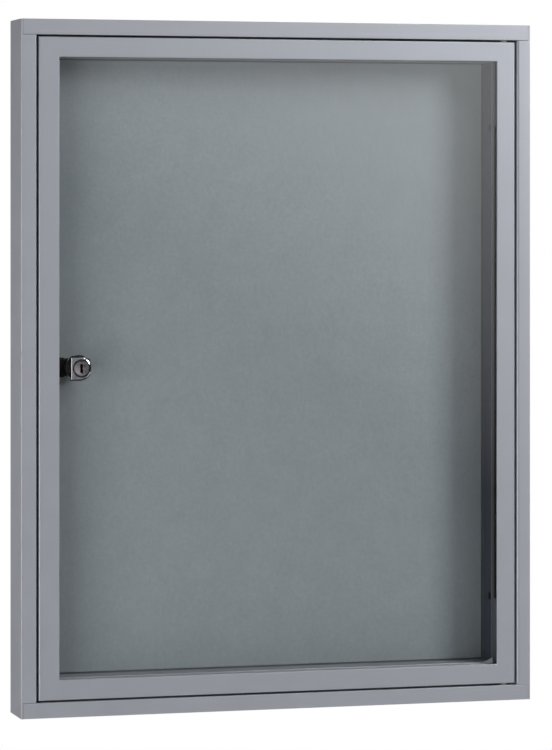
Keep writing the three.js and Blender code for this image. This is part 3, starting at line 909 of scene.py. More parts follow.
@dataclass(frozen=True)
class FibreBoard(Finish):
    """Soft fibreboard with flecks and a cut edge."""

    flecks: float = 700
    strands: float = 300
    depth: float = 0.12

    def detail(self, book: NodeBook) -> Inputs:
        """Patterns the board with flecks, strands and pits.

        Args:
            book: The material's nodes.

        Returns:
            The inputs of the main shader.
        """
        flecks = book.noise(self.flecks, 5)
        tone = book.mean(flecks, book.noise(self.strands, 3, (1, 0.3, 1)))
        return {
            "Base Color": self.shades(book, tone, 0.65, 1.25, (0.35, 0.65)),
            "Normal": book.bump(flecks, self.depth),
        }


@dataclass(frozen=True)
class ClearGlass(Finish):
    """Clear float glass that lets lamp light through to what is behind it."""

    bend: float = 1.48
    passed: Colour = (0.96, 0.975, 0.97)
    waves: float = 4
    depth: float = 0.0004

    def detail(self, book: NodeBook) -> Inputs:
        """Makes the surface clear, with the faintest unevenness.

        Args:
            book: The material's nodes.

        Returns:
            The inputs of the main shader.
        """
        relief = book.bump(book.noise(self.waves, 0), self.depth)
        return {"Transmission Weight": 1, "IOR": self.bend, "Normal": relief}

    def cover(self, book: NodeBook, surface: Socket) -> Socket:
        """Lets light and shadow rays straight through.

        Args:
            book: The material's nodes.
            surface: The main shader.

        Returns:
            The shader that the material ends in.
        """
        clear = book.add("ShaderNodeBsdfTransparent", {"Color": (*self.passed, 1)})
        share = book.math("MAXIMUM", book.rays()["Is Shadow Ray"], book.rays()["Is Diffuse Ray"])
        return book.layer(share, surface, clear.outputs["BSDF"])


@dataclass(frozen=True)
class PaleFloor(Finish):
    """A plain pale studio floor that the camera sees paler than the lamps make it."""

    paleness: float = 0.65
    mirrored: float = 0.15
    clouds: float = 3

    def detail(self, book: NodeBook) -> Inputs:
        """Returns the colour with the faintest unevenness."""
        return {"Base Color": self.shades(book, book.noise(self.clouds, 2), 1, 0.98)}

    def cover(self, book: NodeBook, surface: Socket) -> Socket:
        """Makes the floor paler where the camera or metal sees it.

        Args:
            book: The material's nodes.
            surface: The main shader.

        Returns:
            The shader that the material ends in.
        """
        pale = book.add("ShaderNodeEmission", {"Color": (1, 1, 1, 1)})
        mirrored = book.range(book.rays()["Is Glossy Ray"], 0, self.mirrored)
        share = book.math("MAXIMUM", book.range(book.seen(), 0, self.paleness), mirrored)
        return book.layer(share, surface, pale.outputs["Emission"])


CASING_PAINT = PowderCoat("casing_powder_coat", "casing_paint", linear(184, 187, 195), 0.42, 0.55)
DOOR_PAINT = PowderCoat("door_powder_coat", "door_paint", linear(183, 187, 195), 0.4, 0.55)
# Darker copies of the casing's paint: painted shade on the rails' walls and sill, on the stiles' walls, and
# on the step behind the door.
SILL_PAINTED_SHADE = PowderCoat("sill_powder_coat", "casing_paint", linear(150, 151, 157), 0.75, gloss=0.15)
INNER_PAINTED_SHADE = PowderCoat("inner_powder_coat", "casing_paint", linear(75, 77, 88), 0.75, gloss=0.15)
STEP_PAINTED_SHADE = PowderCoat("step_powder_coat", "casing_paint", linear(115, 117, 123), 0.75, gloss=0.15)
# Lighter than the door's paint: painted light on the pivot bracket, which lies in shade behind the glass.
BRACKET_PAINTED_LIGHT = PowderCoat("light_powder_coat", "door_paint", linear(218, 218, 227), 0.5)
FELT = Felt("grey_felt", "felt", linear(154, 160, 165), 0.95)
# Darker felt: a painted shadow line on the strip pressed into the channel along the casing's walls.
FELT_PAINTED_SHADE = Felt("pressed_felt", "felt", linear(108, 112, 117), 0.95)
BOARD = FibreBoard("soft_fibreboard", "pin_board", (0.33, 0.24, 0.14), 0.9)
SHEET = Brushed("mill_aluminium_sheet", "aluminium", (0.56, 0.57, 0.58), 0.42, 1.0, (1, 1, 0.015))
CLEAT = Brushed("cast_aluminium_cleat", "aluminium", (0.5, 0.51, 0.52), 0.5, 1.0, (1, 1, 1))
ZINC = ZincPlate("bright_zinc", "zinc_plate", (0.52, 0.54, 0.55), 0.36, 1.0)
STEEL = Brushed("bright_steel", "steel", (0.6, 0.61, 0.63), 0.26, 1.0, (0.3, 1, 0.3))
CHROME = Polished("polished_chrome", "lock_chrome", (0.8, 0.81, 0.83), 0.06, 1.0)
SATIN_CHROME = Polished("satin_chrome", "lock_chrome", (0.3, 0.3, 0.34), 0.38, 0.8)
PLUG_CHROME = Polished("plug_chrome", "lock_chrome", (0.26, 0.25, 0.26), 0.34, 0.9)
# Near-black chrome: painted shade and painted dark reflection on the head's rims and in the mouth round the
# plug.
CHROME_PAINTED_SHADE = Polished("smoked_chrome", "lock_chrome", (0.05, 0.05, 0.055), 0.25, 1.0)
# Near black: painted shade inside the key slot.
KEYWAY_PAINTED_SHADE = Moulded("keyway_dark", "lock_chrome", (0.01, 0.01, 0.01), 0.6, 0.5)
BLACK = Moulded("black_moulding", "black_plastic", (0.013, 0.01, 0.008), 0.6, gloss=0.15)
RUBBER = Moulded("black_rubber", "seal_rubber", (0.016, 0.016, 0.017), 0.8, 0.0, 900, 0.03, 0.25)
NYLON = Moulded("white_nylon", "nylon", (0.68, 0.66, 0.61), 0.45, 0.0, 1100, 0.01)
GLASS = ClearGlass("clear_glass", "glass", (0.97, 0.985, 0.98), 0.0)
FLOOR = PaleFloor("pale_floor", "", (0.86, 0.86, 0.87), 0.7)


def dress(piece: Piece, finish: Finish) -> None:
    """Gives a piece one finish all over.

    Args:
        piece: A modelled piece or a carried-over node.
        finish: Its finish.
    """
    if piece.data.materials:
        for slot in piece.material_slots:
            slot.material = finish.material()
    else:
        piece.data.materials.append(finish.material())


def coat(piece: Piece, finish: Finish, test: Callable[[Vector, Vector], bool]) -> None:
    """Gives the faces that a test picks a finish of their own.

    Args:
        piece: A dressed piece.
        finish: The finish of the picked faces.
        test: Takes a face's centre and its normal, and says whether to pick it.
    """
    piece.data.materials.append(finish.material())
    for face in piece.data.polygons:
        if test(face.center / MM, face.normal):
            face.material_index = len(piece.data.materials) - 1


@dataclass
class Assembly:
    """A group of pieces that are built and dressed together."""

    frame: dict

    def put(self, piece: Piece, node: str, body: Body, finish: Finish) -> None:
        """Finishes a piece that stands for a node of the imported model.

        Args:
            piece: The modelled piece.
            node: The node that it stands for.
            body: The body that it rides on.
            finish: Its finish.
        """
        tidy_shell(piece)
        even_shading(piece)
        dress(piece, finish)
        piece.name = f"{node}_piece"
        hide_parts(node)
        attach(piece, body.value)
        LOG.info("%s: %d faces", piece.name, len(piece.data.polygons))

    def keep(self, node: str, finish: Finish) -> None:
        """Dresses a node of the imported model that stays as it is.

        Args:
            node: Name of the node.
            finish: Its finish.
        """
        dress(self.frame["nodes"][node], finish)
        LOG.info("%s: kept", node)


@dataclass(frozen=True)
class Layout:
    """The sizes and places that the sub-assemblies share."""

    half_width: float = 262.5
    half_height: float = 341.0
    depth: float = 52.0
    recess: float = 19.5
    panel: float = 43.5
    web: float = 50.0
    rail_face: float = 15.2
    rail_return: float = 36.8
    stile_return: float = 35.2
    rebate: float = 8.0
    casing_wall: float = 1.6
    door_left: float = -244.9
    door_right: float = 246.1
    door_top: float = 323.9
    window_left: float = -224.5
    window_right: float = 227.1
    window_top: float = 304.2
    pivot_x: float = 236.3
    pivot_depth: float = 7.0
    keyhole_x: float = 217.5
    rear_screw_x: float = 248.1
    sheet_screw_z: float = 150.0
    hanger_screw_z: float = 289.0
    strike_screw_z: float = 17.0
    bolt_middle: float = 25.8
    bolt_slot: Point = (3.6, 5.8)
    lock_x: float = -203.9
    cover_back: float = 32.0
    cover_screws: tuple[Point, Point] = ((-17.5, 6.9), (11.3, 0.0))

    def back(self, depth: float) -> float:
        """Turns a depth behind the front face into a place along Y."""
        return depth - self.depth

    def lie(self, axis: Axis, outer: float, outward: int, outline: Iterable[Point]) -> list[Point]:
        """Lays a section, drawn in from an edge and back from the front, where a member runs.

        Args:
            axis: The axis that the member lies along, X or Z.
            outer: Place of the edge.
            outward: Which way outwards is, 1 or -1.
            outline: The section.

        Returns:
            The section as a prism takes it.
        """
        points = [(outer - outward * inset, self.back(depth)) for inset, depth in outline]
        return [(depth, across) for across, depth in points] if axis is Axis.X else points

    def pivot(self) -> Spot:
        """Returns the point of the pins' axis at the board's middle height."""
        return (self.pivot_x, self.back(self.pivot_depth), 0)


LAYOUT = Layout()


@dataclass
class Casing(Assembly):
    """The four hollow members of the casing."""

    skin: float = 2.0
    joint: float = 0.2
    lock_face: float = 15.1
    hinge_face: float = 14.2
    hinge_lip_round: float = 2.8
    front_round: float = 0.6
    tunnel_round: float = 0.5
    inner_round: float = 0.35
    window: Point = (7.0, 11.25)
    bush_hole: float = 3.4
    overrun: float = 4.0
    cope_overrun: float = 5.0
    slot_overruns: Point = (0.3, 3.0)
    shade_margins: Point = (0.1, 0.6)

    def section(self, face: float, inner: float, lip_round: float) -> list[Point]:
        """Draws a member's section, in from its outer face and back from its front.

        Args:
            face: Width of its front face.
            inner: Distance of its inner wall.
            lip_round: Rounding of the edge beside the door.

        Returns:
            The outline.
        """
        lay, small = LAYOUT, self.inner_round
        rebate = inner - lay.rebate
        return fillet([
            (0, 0, self.front_round), (face, 0, lip_round), (face, lay.recess, small),
            (inner, lay.recess, self.tunnel_round), (inner, lay.panel, small), (rebate, lay.panel, small),
            (rebate, lay.web, small), (lay.casing_wall, lay.web, small), (lay.casing_wall, lay.depth, small),
            (0, lay.depth, small),
        ])

    def chamber(self, face: float, inner: float) -> list[Point]:
        """Draws the hollow of a member.

        Args:
            face: Width of its front face.
            inner: Distance of its inner wall.

        Returns:
            The outline.
        """
        lay, wall = LAYOUT, LAYOUT.casing_wall
        rebate = inner - lay.rebate
        return [
            (wall, wall), (face - wall, wall), (face - wall, lay.recess + wall),
            (inner - wall, lay.recess + wall), (inner - wall, lay.panel - wall),
            (rebate - wall, lay.panel - wall), (rebate - wall, lay.web - wall), (wall, lay.web - wall),
        ]

    def rail(self, end: End) -> Piece:
        """Models the top or bottom rail.

        Args:
            end: Which end of the board it is at.

        Returns:
            The rail.
        """
        lay, sign = LAYOUT, end.value
        top, wall = lay.half_height, lay.casing_wall
        reach = lay.half_width - self.skin - self.joint
        section = self.section(lay.rail_face, lay.rail_return, self.front_round)
        piece = prism("rail", Axis.X, lay.lie(Axis.X, sign * top, sign, section), -reach, reach)
        hollow = lay.lie(Axis.X, sign * top, sign, self.chamber(lay.rail_face, lay.rail_return))
        tools = [prism("hollow", Axis.X, hollow, -reach - self.overrun, reach + self.overrun)]
        middle = sign * (top - (wall + lay.rail_return - lay.rebate) / 2)
        front, rear = lay.back(lay.web - wall) - GAP, lay.back(lay.web) + self.overrun
        wide, high = self.window
        for x in (-lay.keyhole_x, lay.keyhole_x):
            tools.append(block("window", (x - wide, front, middle - high), (x + wide, rear, middle + high)))
        inner = top - lay.rail_face
        lip = sorted((sign * (inner - self.overrun), sign * (inner + wall + GAP)))
        tools.append(rod(Axis.Z, self.bush_hole, lip, lay.pivot(), HOLE_STEPS))
        combine(piece, tools)
        return piece

    def stile(self, side: Side, face: float, lip_round: float, holes: Sequence[Piece]) -> Piece:
        """Models a stile, coped over the ends of the rails behind its outer skin.

        Args:
            side: Which side of the board it is on.
            face: Width of its front face.
            lip_round: Rounding of the edge beside the door.
            holes: Cutters for the holes that this stile alone has.

        Returns:
            The stile.
        """
        lay, sign = LAYOUT, side.value
        top, out, over, joint = lay.half_height, sign * lay.half_width, self.cope_overrun, self.joint
        section = self.section(face, lay.stile_return, lip_round)
        piece = prism("stile", Axis.Z, lay.lie(Axis.Z, out, sign, section), -top, top)
        hollow = lay.lie(Axis.Z, out, sign, self.chamber(face, lay.stile_return))
        tools = [prism("hollow", Axis.Z, hollow, -top - 1, top + 1)]
        inner = sorted(sign * (lay.half_width - inset) for inset in (self.skin, lay.stile_return + over))
        front, tunnel, rebate = lay.rail_face, lay.rail_return, lay.rail_return - lay.rebate
        cope = [
            (-over, -over), (front + joint, -over), (front + joint, lay.recess - joint),
            (tunnel + joint, lay.recess - joint), (tunnel + joint, lay.panel + joint),
            (rebate + joint, lay.panel + joint), (rebate + joint, lay.depth + over),
            (-over, lay.depth + over),
        ]
        for end in End:
            tools.append(prism("cope", Axis.X, lay.lie(Axis.X, end.value * top, end.value, cope), *inner))
        combine(piece, [*tools, *holes])
        return piece

    def line(self, piece: Piece, axis: Axis, reach: float, step: Finish | None, walls: Finish) -> None:
        """Paints shade on the step behind the door, and on the walls behind it, with darker copies of the
        casing's paint.

        Args:
            piece: A member of the casing.
            axis: The axis across it, X or Z.
            reach: Distance of its front face's inner edge from the board's middle.
            step: The painted shade of the step, or None where the step keeps the casing's paint.
            walls: The painted shade of the walls.
        """
        edge, margin = self.shade_margins
        front = LAYOUT.back(LAYOUT.recess)

        def inside(centre: Vector) -> bool:
            """Says whether a face lies inside the member's front face."""
            return abs(centre[axis.value]) < reach - edge

        if step:
            coat(piece, step, lambda centre, normal: inside(centre) and abs(centre.y - front) < margin)
        coat(piece, walls, lambda centre, normal: inside(centre) and centre.y > front + margin)

    def build(self) -> None:
        """Models and dresses the rails and stiles."""
        lay = LAYOUT
        for end, step in ((End.TOP, STEP_PAINTED_SHADE), (End.BOTTOM, None)):
            rail = self.rail(end)
            self.put(rail, f"casing_{end.name.lower()}_rail", Body.CASING, CASING_PAINT)
            # Painted shade on the rail's walls, and on the top rail's step; the bottom rail's step keeps the
            # casing's paint.
            self.line(rail, Axis.Z, lay.half_height - lay.rail_face, step, SILL_PAINTED_SHADE)
        inner = -lay.half_width + lay.stile_return
        before, after = self.slot_overruns
        deep, high = lay.bolt_slot
        slot = block("bolt_slot", (inner - lay.casing_wall - before, lay.back(lay.bolt_middle - deep), -high),
                     (inner + after, lay.back(lay.bolt_middle + deep), high))
        for side, face, lip_round, holes in (
            (Side.LOCK, self.lock_face, self.front_round, [slot]),
            (Side.HINGE, self.hinge_face, self.hinge_lip_round, []),
        ):
            stile = self.stile(side, face, lip_round, holes)
            self.put(stile, f"casing_{side.name.lower()}_stile", Body.CASING, CASING_PAINT)
            # Painted shade on the stile's step and on the walls behind it.
            self.line(stile, Axis.X, lay.half_width - face, STEP_PAINTED_SHADE, INNER_PAINTED_SHADE)


@dataclass
class PinPanel(Assembly):
    """The pin board and the felt on it."""

    half_width: float = 234.9
    half_height: float = 311.8
    felt_front: float = 43.7
    felt_back: float = 45.2
    felt_round: float = 0.5
    channel: Point = (2.2, 1.6)
    channel_depth: float = 1.1

    def slab(self, front: float, back: float) -> Piece:
        """Models one layer with eased edges.

        Args:
            front: Depth of its front.
            back: Depth of its rear.

        Returns:
            The layer.
        """
        low = (-self.half_width, LAYOUT.back(front), -self.half_height)
        piece = block("slab", low, (self.half_width, LAYOUT.back(back), self.half_height))
        soften(piece, GAP, 3)
        return piece

    def felt(self) -> Piece:
        """Models the felt, pressed thin in a channel along the walls of the casing.

        Returns:
            The felt.
        """
        lay = LAYOUT
        piece = self.slab(self.felt_front + self.channel_depth, self.felt_back)
        wide = lay.half_width - lay.stile_return - self.channel[0]
        high = lay.half_height - lay.rail_return - self.channel[1]
        front = lay.back(self.felt_front)
        raised = block("raised", (-wide, front, -high), (wide, lay.back(self.felt_back - GAP), high))
        bevel_edges(raised, lambda a, b: max(a.y, b.y) < front + NEAR, self.felt_round, 3)
        combine(piece, [raised], Way.JOIN)
        return piece

    def build(self) -> None:
        """Models and dresses both layers."""
        felt = self.felt()
        self.put(felt, "felt_facing", Body.CASING, FELT)
        # The pressed strip along the walls gets the darker felt, a painted shadow line at the felt's edges.
        low = LAYOUT.back(self.felt_front + self.channel_depth) - 5 * NEAR
        coat(felt, FELT_PAINTED_SHADE, lambda centre, normal: centre.y > low)
        self.put(self.slab(self.felt_back + GAP, LAYOUT.web), "pin_board", Body.CASING, BOARD)


@dataclass
class Screws(Assembly):
    """Countersunk screws with a cross recess, modelled once and copied."""

    head_radius: float = 2.9
    head_height: float = 1.4
    head_edge: Point = (0.15, 0.12)
    recess_depth: float = 0.875
    shank_radius: float = 1.5
    length: float = 9.0
    pitch: float = 0.9
    thread_depth: float = 0.28
    thread_ends: Point = (0.4, 1.2)
    point: Point = (0.3, 1.0)
    edge_round: float = 0.05
    small: float = 0.6
    strike_x: float = -226.1

    def master(self) -> Piece:
        """Models one screw with its head's face at the origin and its shank towards -Y.

        Returns:
            The screw.
        """
        head, shank = self.head_radius, self.shank_radius
        inset, drop = self.head_edge
        profile = [(0, 0), (head - inset, 0), (head, -drop), (shank, -self.head_height)]
        along = -self.head_height - self.thread_ends[0]
        while along > -self.length + self.thread_ends[1]:
            profile += [(shank - self.thread_depth, along), (shank, along - self.pitch / 2)]
            along -= self.pitch
        profile += [(shank - self.point[0], -self.length + self.point[1]), (0, -self.length)]
        piece = turned("screw", Axis.Y, profile, (0, 0, 0), HOLE_STEPS)
        deep, reach, blade = self.recess_depth, head / 2, shank / 4
        cross = [block("recess", (-x, -deep, -z), (x, 1, z)) for x, z in ((reach, blade), (blade, reach))]
        combine(piece, cross)
        soften(piece, self.edge_round, 1, CUT_ANGLE)
        return piece

    def build(self) -> None:
        """Copies the screw to each of its places."""
        lay, master = LAYOUT, self.master()
        little = Matrix.Scale(self.small, 4)
        sideways = Matrix.Rotation(-math.pi / 2, 4, "Z") @ little
        places = []
        for side, end in CORNERS:
            for name, z in (("back_sheet_screw", lay.sheet_screw_z), ("hanger_screw", lay.hanger_screw_z)):
                place = (side.value * lay.rear_screw_x, -GAP, end.value * z)
                places.append((f"{name}_{corner_name(side, end)}", place, Matrix()))
        for name, z in (("upper", lay.strike_screw_z), ("lower", -lay.strike_screw_z)):
            places.append((f"strike_screw_{name}", (self.strike_x, lay.back(lay.bolt_middle), z), sideways))
        for name, (x, z) in zip(("left", "right"), lay.cover_screws):
            place = (lay.lock_x + x, lay.back(lay.cover_back) - GAP, z)
            places.append((f"lock_cover_screw_{name}", place, little))
        for node, place, turn in places:
            body = Body.DOOR if node.startswith("lock") else Body.CASING
            move = Matrix.Translation(Vector(place) * MM) @ turn
            self.put(copy_of(master, node, move), node, body, STEEL)
        bpy.data.meshes.remove(master.data)


@dataclass
class Rear(Assembly):
    """Back sheet, hanger plates and the cleats inside the casing."""

    margin: float = 2.5
    plate_width: float = 62.0
    plate_height: float = 72.0
    gap: float = 0.5
    front: float = 50.2
    keyhole_z: float = 325.8
    keyhole_length: float = 12.5
    head_radius: float = 5.0
    slot_radius: float = 2.75
    corner_round: float = 1.2
    inner_round: float = 4.8
    edge_round: float = 0.25
    sink_radii: Point = (1.7, 3.1)
    sink_places: Spot = (-4.0, -1.6, -0.2)

    def flat(
        self, name: str, outline: Sequence[Point], holes: Sequence[Piece], screws: Sequence[Point]
    ) -> Piece:
        """Models a flat part of the rear with its holes.

        Args:
            name: Name of the new piece.
            outline: Its outline.
            holes: Cutters of its own holes.
            screws: Places of its screws.

        Returns:
            The part.
        """
        piece = prism(name, Axis.Y, outline, LAYOUT.back(self.front), 0)
        sinks = [countersink(Axis.Y, self.sink_radii, self.sink_places, (x, 0, z)) for x, z in screws]
        combine(piece, [*holes, *sinks])
        soften(piece, self.edge_round)
        return piece

    def keyhole(self, side: Side, end: End) -> list[Point]:
        """Draws a keyhole: a round mouth with a slot above it.

        Args:
            side: Side of its corner.
            end: End of its corner.

        Returns:
            The outline.
        """
        x, middle, half = side.value * LAYOUT.keyhole_x, end.value * self.keyhole_z, self.keyhole_length / 2
        meet = math.asin(self.slot_radius / self.head_radius)
        mouth = arc((x, middle - half), self.head_radius, math.pi / 2 + meet, 2 * math.pi - 2 * meet, 32)
        return mouth + arc((x, middle + half), self.slot_radius, 0, math.pi, 16)

    def plate(self, side: Side, end: End) -> Piece:
        """Models a hanger plate.

        Args:
            side: Side of its corner.
            end: End of its corner.

        Returns:
            The plate.
        """
        lay, radius = LAYOUT, self.corner_round
        out_x = side.value * (lay.half_width - self.margin)
        out_z = end.value * (lay.half_height - self.margin)
        in_x = out_x - side.value * self.plate_width
        in_z = out_z - end.value * self.plate_height
        corners = [
            (out_x, out_z, radius), (in_x, out_z, radius), (in_x, in_z, self.inner_round),
            (out_x, in_z, radius),
        ]
        hole = prism("keyhole", Axis.Y, self.keyhole(side, end), lay.back(self.front) - OVER, OVER)
        screw = (side.value * lay.rear_screw_x, end.value * lay.hanger_screw_z)
        return self.flat("plate", fillet(corners), [hole], [screw])

    def sheet(self) -> Piece:
        """Models the back sheet with its four notches.

        Returns:
            The sheet.
        """
        lay, radius = LAYOUT, self.corner_round
        x, z = lay.half_width - self.margin, lay.half_height - self.margin
        notch_x, notch_z = x - self.plate_width - self.gap, z - self.plate_height - self.gap
        quarter = [(x, notch_z, radius), (notch_x, notch_z, radius), (notch_x, z, radius)]
        corners = [
            *quarter,
            *[(-a, b, r) for a, b, r in reversed(quarter)],
            *[(-a, -b, r) for a, b, r in quarter],
            *[(a, -b, r) for a, b, r in reversed(quarter)],
        ]
        screws = [(side.value * lay.rear_screw_x, end.value * lay.sheet_screw_z) for side, end in CORNERS]
        return self.flat("sheet", fillet(corners), [], screws)

    def build(self) -> None:
        """Models and dresses the rear of the casing."""
        self.put(self.sheet(), "back_sheet", Body.CASING, SHEET)
        for side, end in CORNERS:
            name = corner_name(side, end)
            self.put(self.plate(side, end), f"hanger_plate_{name}", Body.CASING, ZINC)
            self.keep(f"corner_cleat_{name}", CLEAT)


@dataclass
class Recess(Assembly):
    """What sits on the step and on the inner walls: seals, plugs, strike plate and bushes."""

    seal_width: float = 5.0
    seal_inset: float = 4.6
    seal_front: float = 14.2
    seal_bend: float = 2.45
    seal_top_end: float = 222.1
    seal_bottom_end: float = 196.1
    seal_half_height: float = 299.2
    seal_angle: float = 60
    plug_x: float = 227.3
    plug_depth: float = 24.2
    plug_z: float = 237.5
    plug_radius: float = 3.9
    plug_thickness: float = 0.8
    plug_dome: tuple[Point, ...] = ((0.0, 0.0), (0.6, 0.05), (0.9, 0.25), (1.0, 0.55))
    stem_radius: float = 2.8
    stem_length: float = 3.5
    stem_taper: Point = (0.5, 1.1)
    strike_x: float = -227.1
    strike_thickness: float = 1.2
    strike_half_height: float = 23.0
    strike_half_width: float = 7.0
    strike_round: float = 1.5
    sink_radii: Point = (1.1, 1.94)
    sink_places: Spot = (-3.0, -0.9, 0.0)
    bush_radius: float = 3.2
    bush_bore: float = 2.2
    bush_length: float = 6.8
    bush_round: float = 0.3
    bore_round: float = 0.2
    collar_radius: float = 4.7
    collar_front: float = 1.8
    collar_thickness: float = 1.4

    def seals(self) -> None:
        """Models the three seals, each with a rounded front."""
        lay, width, bend = LAYOUT, self.seal_width, self.seal_bend
        back = lay.recess - GAP
        section = fillet([
            (0, back, GAP), (0, self.seal_front, bend), (width, self.seal_front, bend), (width, back, GAP),
        ], 8)
        left, outer = lay.door_left + self.seal_inset, lay.door_top - self.seal_inset
        for name, axis, edge, outward, start, stop in (
            ("top", Axis.X, outer, 1, left, self.seal_top_end),
            ("bottom", Axis.X, -outer, -1, left, self.seal_bottom_end),
            ("lock_side", Axis.Z, left, -1, -self.seal_half_height, self.seal_half_height),
        ):
            piece = prism("seal", axis, lay.lie(axis, edge, outward, section), start, stop)
            soften(piece, GAP, 2, self.seal_angle)
            self.put(piece, f"door_seal_{name}", Body.CASING, RUBBER)

    def plugs(self) -> None:
        """Models the two domed plugs in the hinge stile."""
        front = -self.plug_thickness - GAP
        slim, taper = self.stem_taper
        profile = [(share * self.plug_radius, front + drop) for share, drop in self.plug_dome] + [
            (self.plug_radius, -GAP), (self.stem_radius, -GAP), (self.stem_radius, self.stem_length - taper),
            (self.stem_radius - slim, self.stem_length), (0, self.stem_length),
        ]
        for name, sign in (("upper", 1), ("lower", -1)):
            centre = (self.plug_x, LAYOUT.back(self.plug_depth), sign * self.plug_z)
            plug = turned("plug", Axis.X, profile, centre, PIN_STEPS)
            self.put(plug, f"side_plug_{name}", Body.CASING, BLACK)

    def strike(self) -> None:
        """Models the strike plate with its bolt slot and screw holes."""
        lay = LAYOUT
        middle = lay.back(lay.bolt_middle)
        left, right = self.strike_x, self.strike_x + self.strike_thickness
        outline = rectangle(middle, self.strike_half_width, self.strike_half_height, self.strike_round)
        piece = prism("strike", Axis.X, outline, left, right)
        tools = [prism("slot", Axis.X, rectangle(middle, *lay.bolt_slot, 1), left - OVER, right + OVER)]
        for z in (-lay.strike_screw_z, lay.strike_screw_z):
            tools.append(countersink(Axis.X, self.sink_radii, self.sink_places, (right, middle, z)))
        combine(piece, tools)
        soften(piece, GAP)
        self.put(piece, "strike_plate", Body.CASING, ZINC)

    def bushes(self) -> None:
        """Models the two bushes of the pivot pins."""
        lay, bore, body, collar = LAYOUT, self.bush_bore, self.bush_radius, self.collar_radius
        small, large = self.bore_round, self.bush_round
        low, lip = lay.door_top + GAP, lay.half_height - lay.rail_face
        near, high = lip + self.collar_front, lip + self.bush_length
        far = near + self.collar_thickness
        profile = fillet([
            (bore, low, small), (body, low, large), (body, near, 0), (collar, near, small),
            (collar, far, small), (body, far, 0), (body, high, large), (bore, high, small),
        ], 3)
        for end in End:
            points = [(radius, end.value * along) for radius, along in profile]
            bush = turned("bush", Axis.Z, points, lay.pivot(), PIN_STEPS)
            self.put(bush, f"pivot_bush_{end.name.lower()}", Body.CASING, NYLON)

    def build(self) -> None:
        """Models and dresses all of them."""
        self.seals()
        self.plugs()
        self.strike()
        self.bushes()


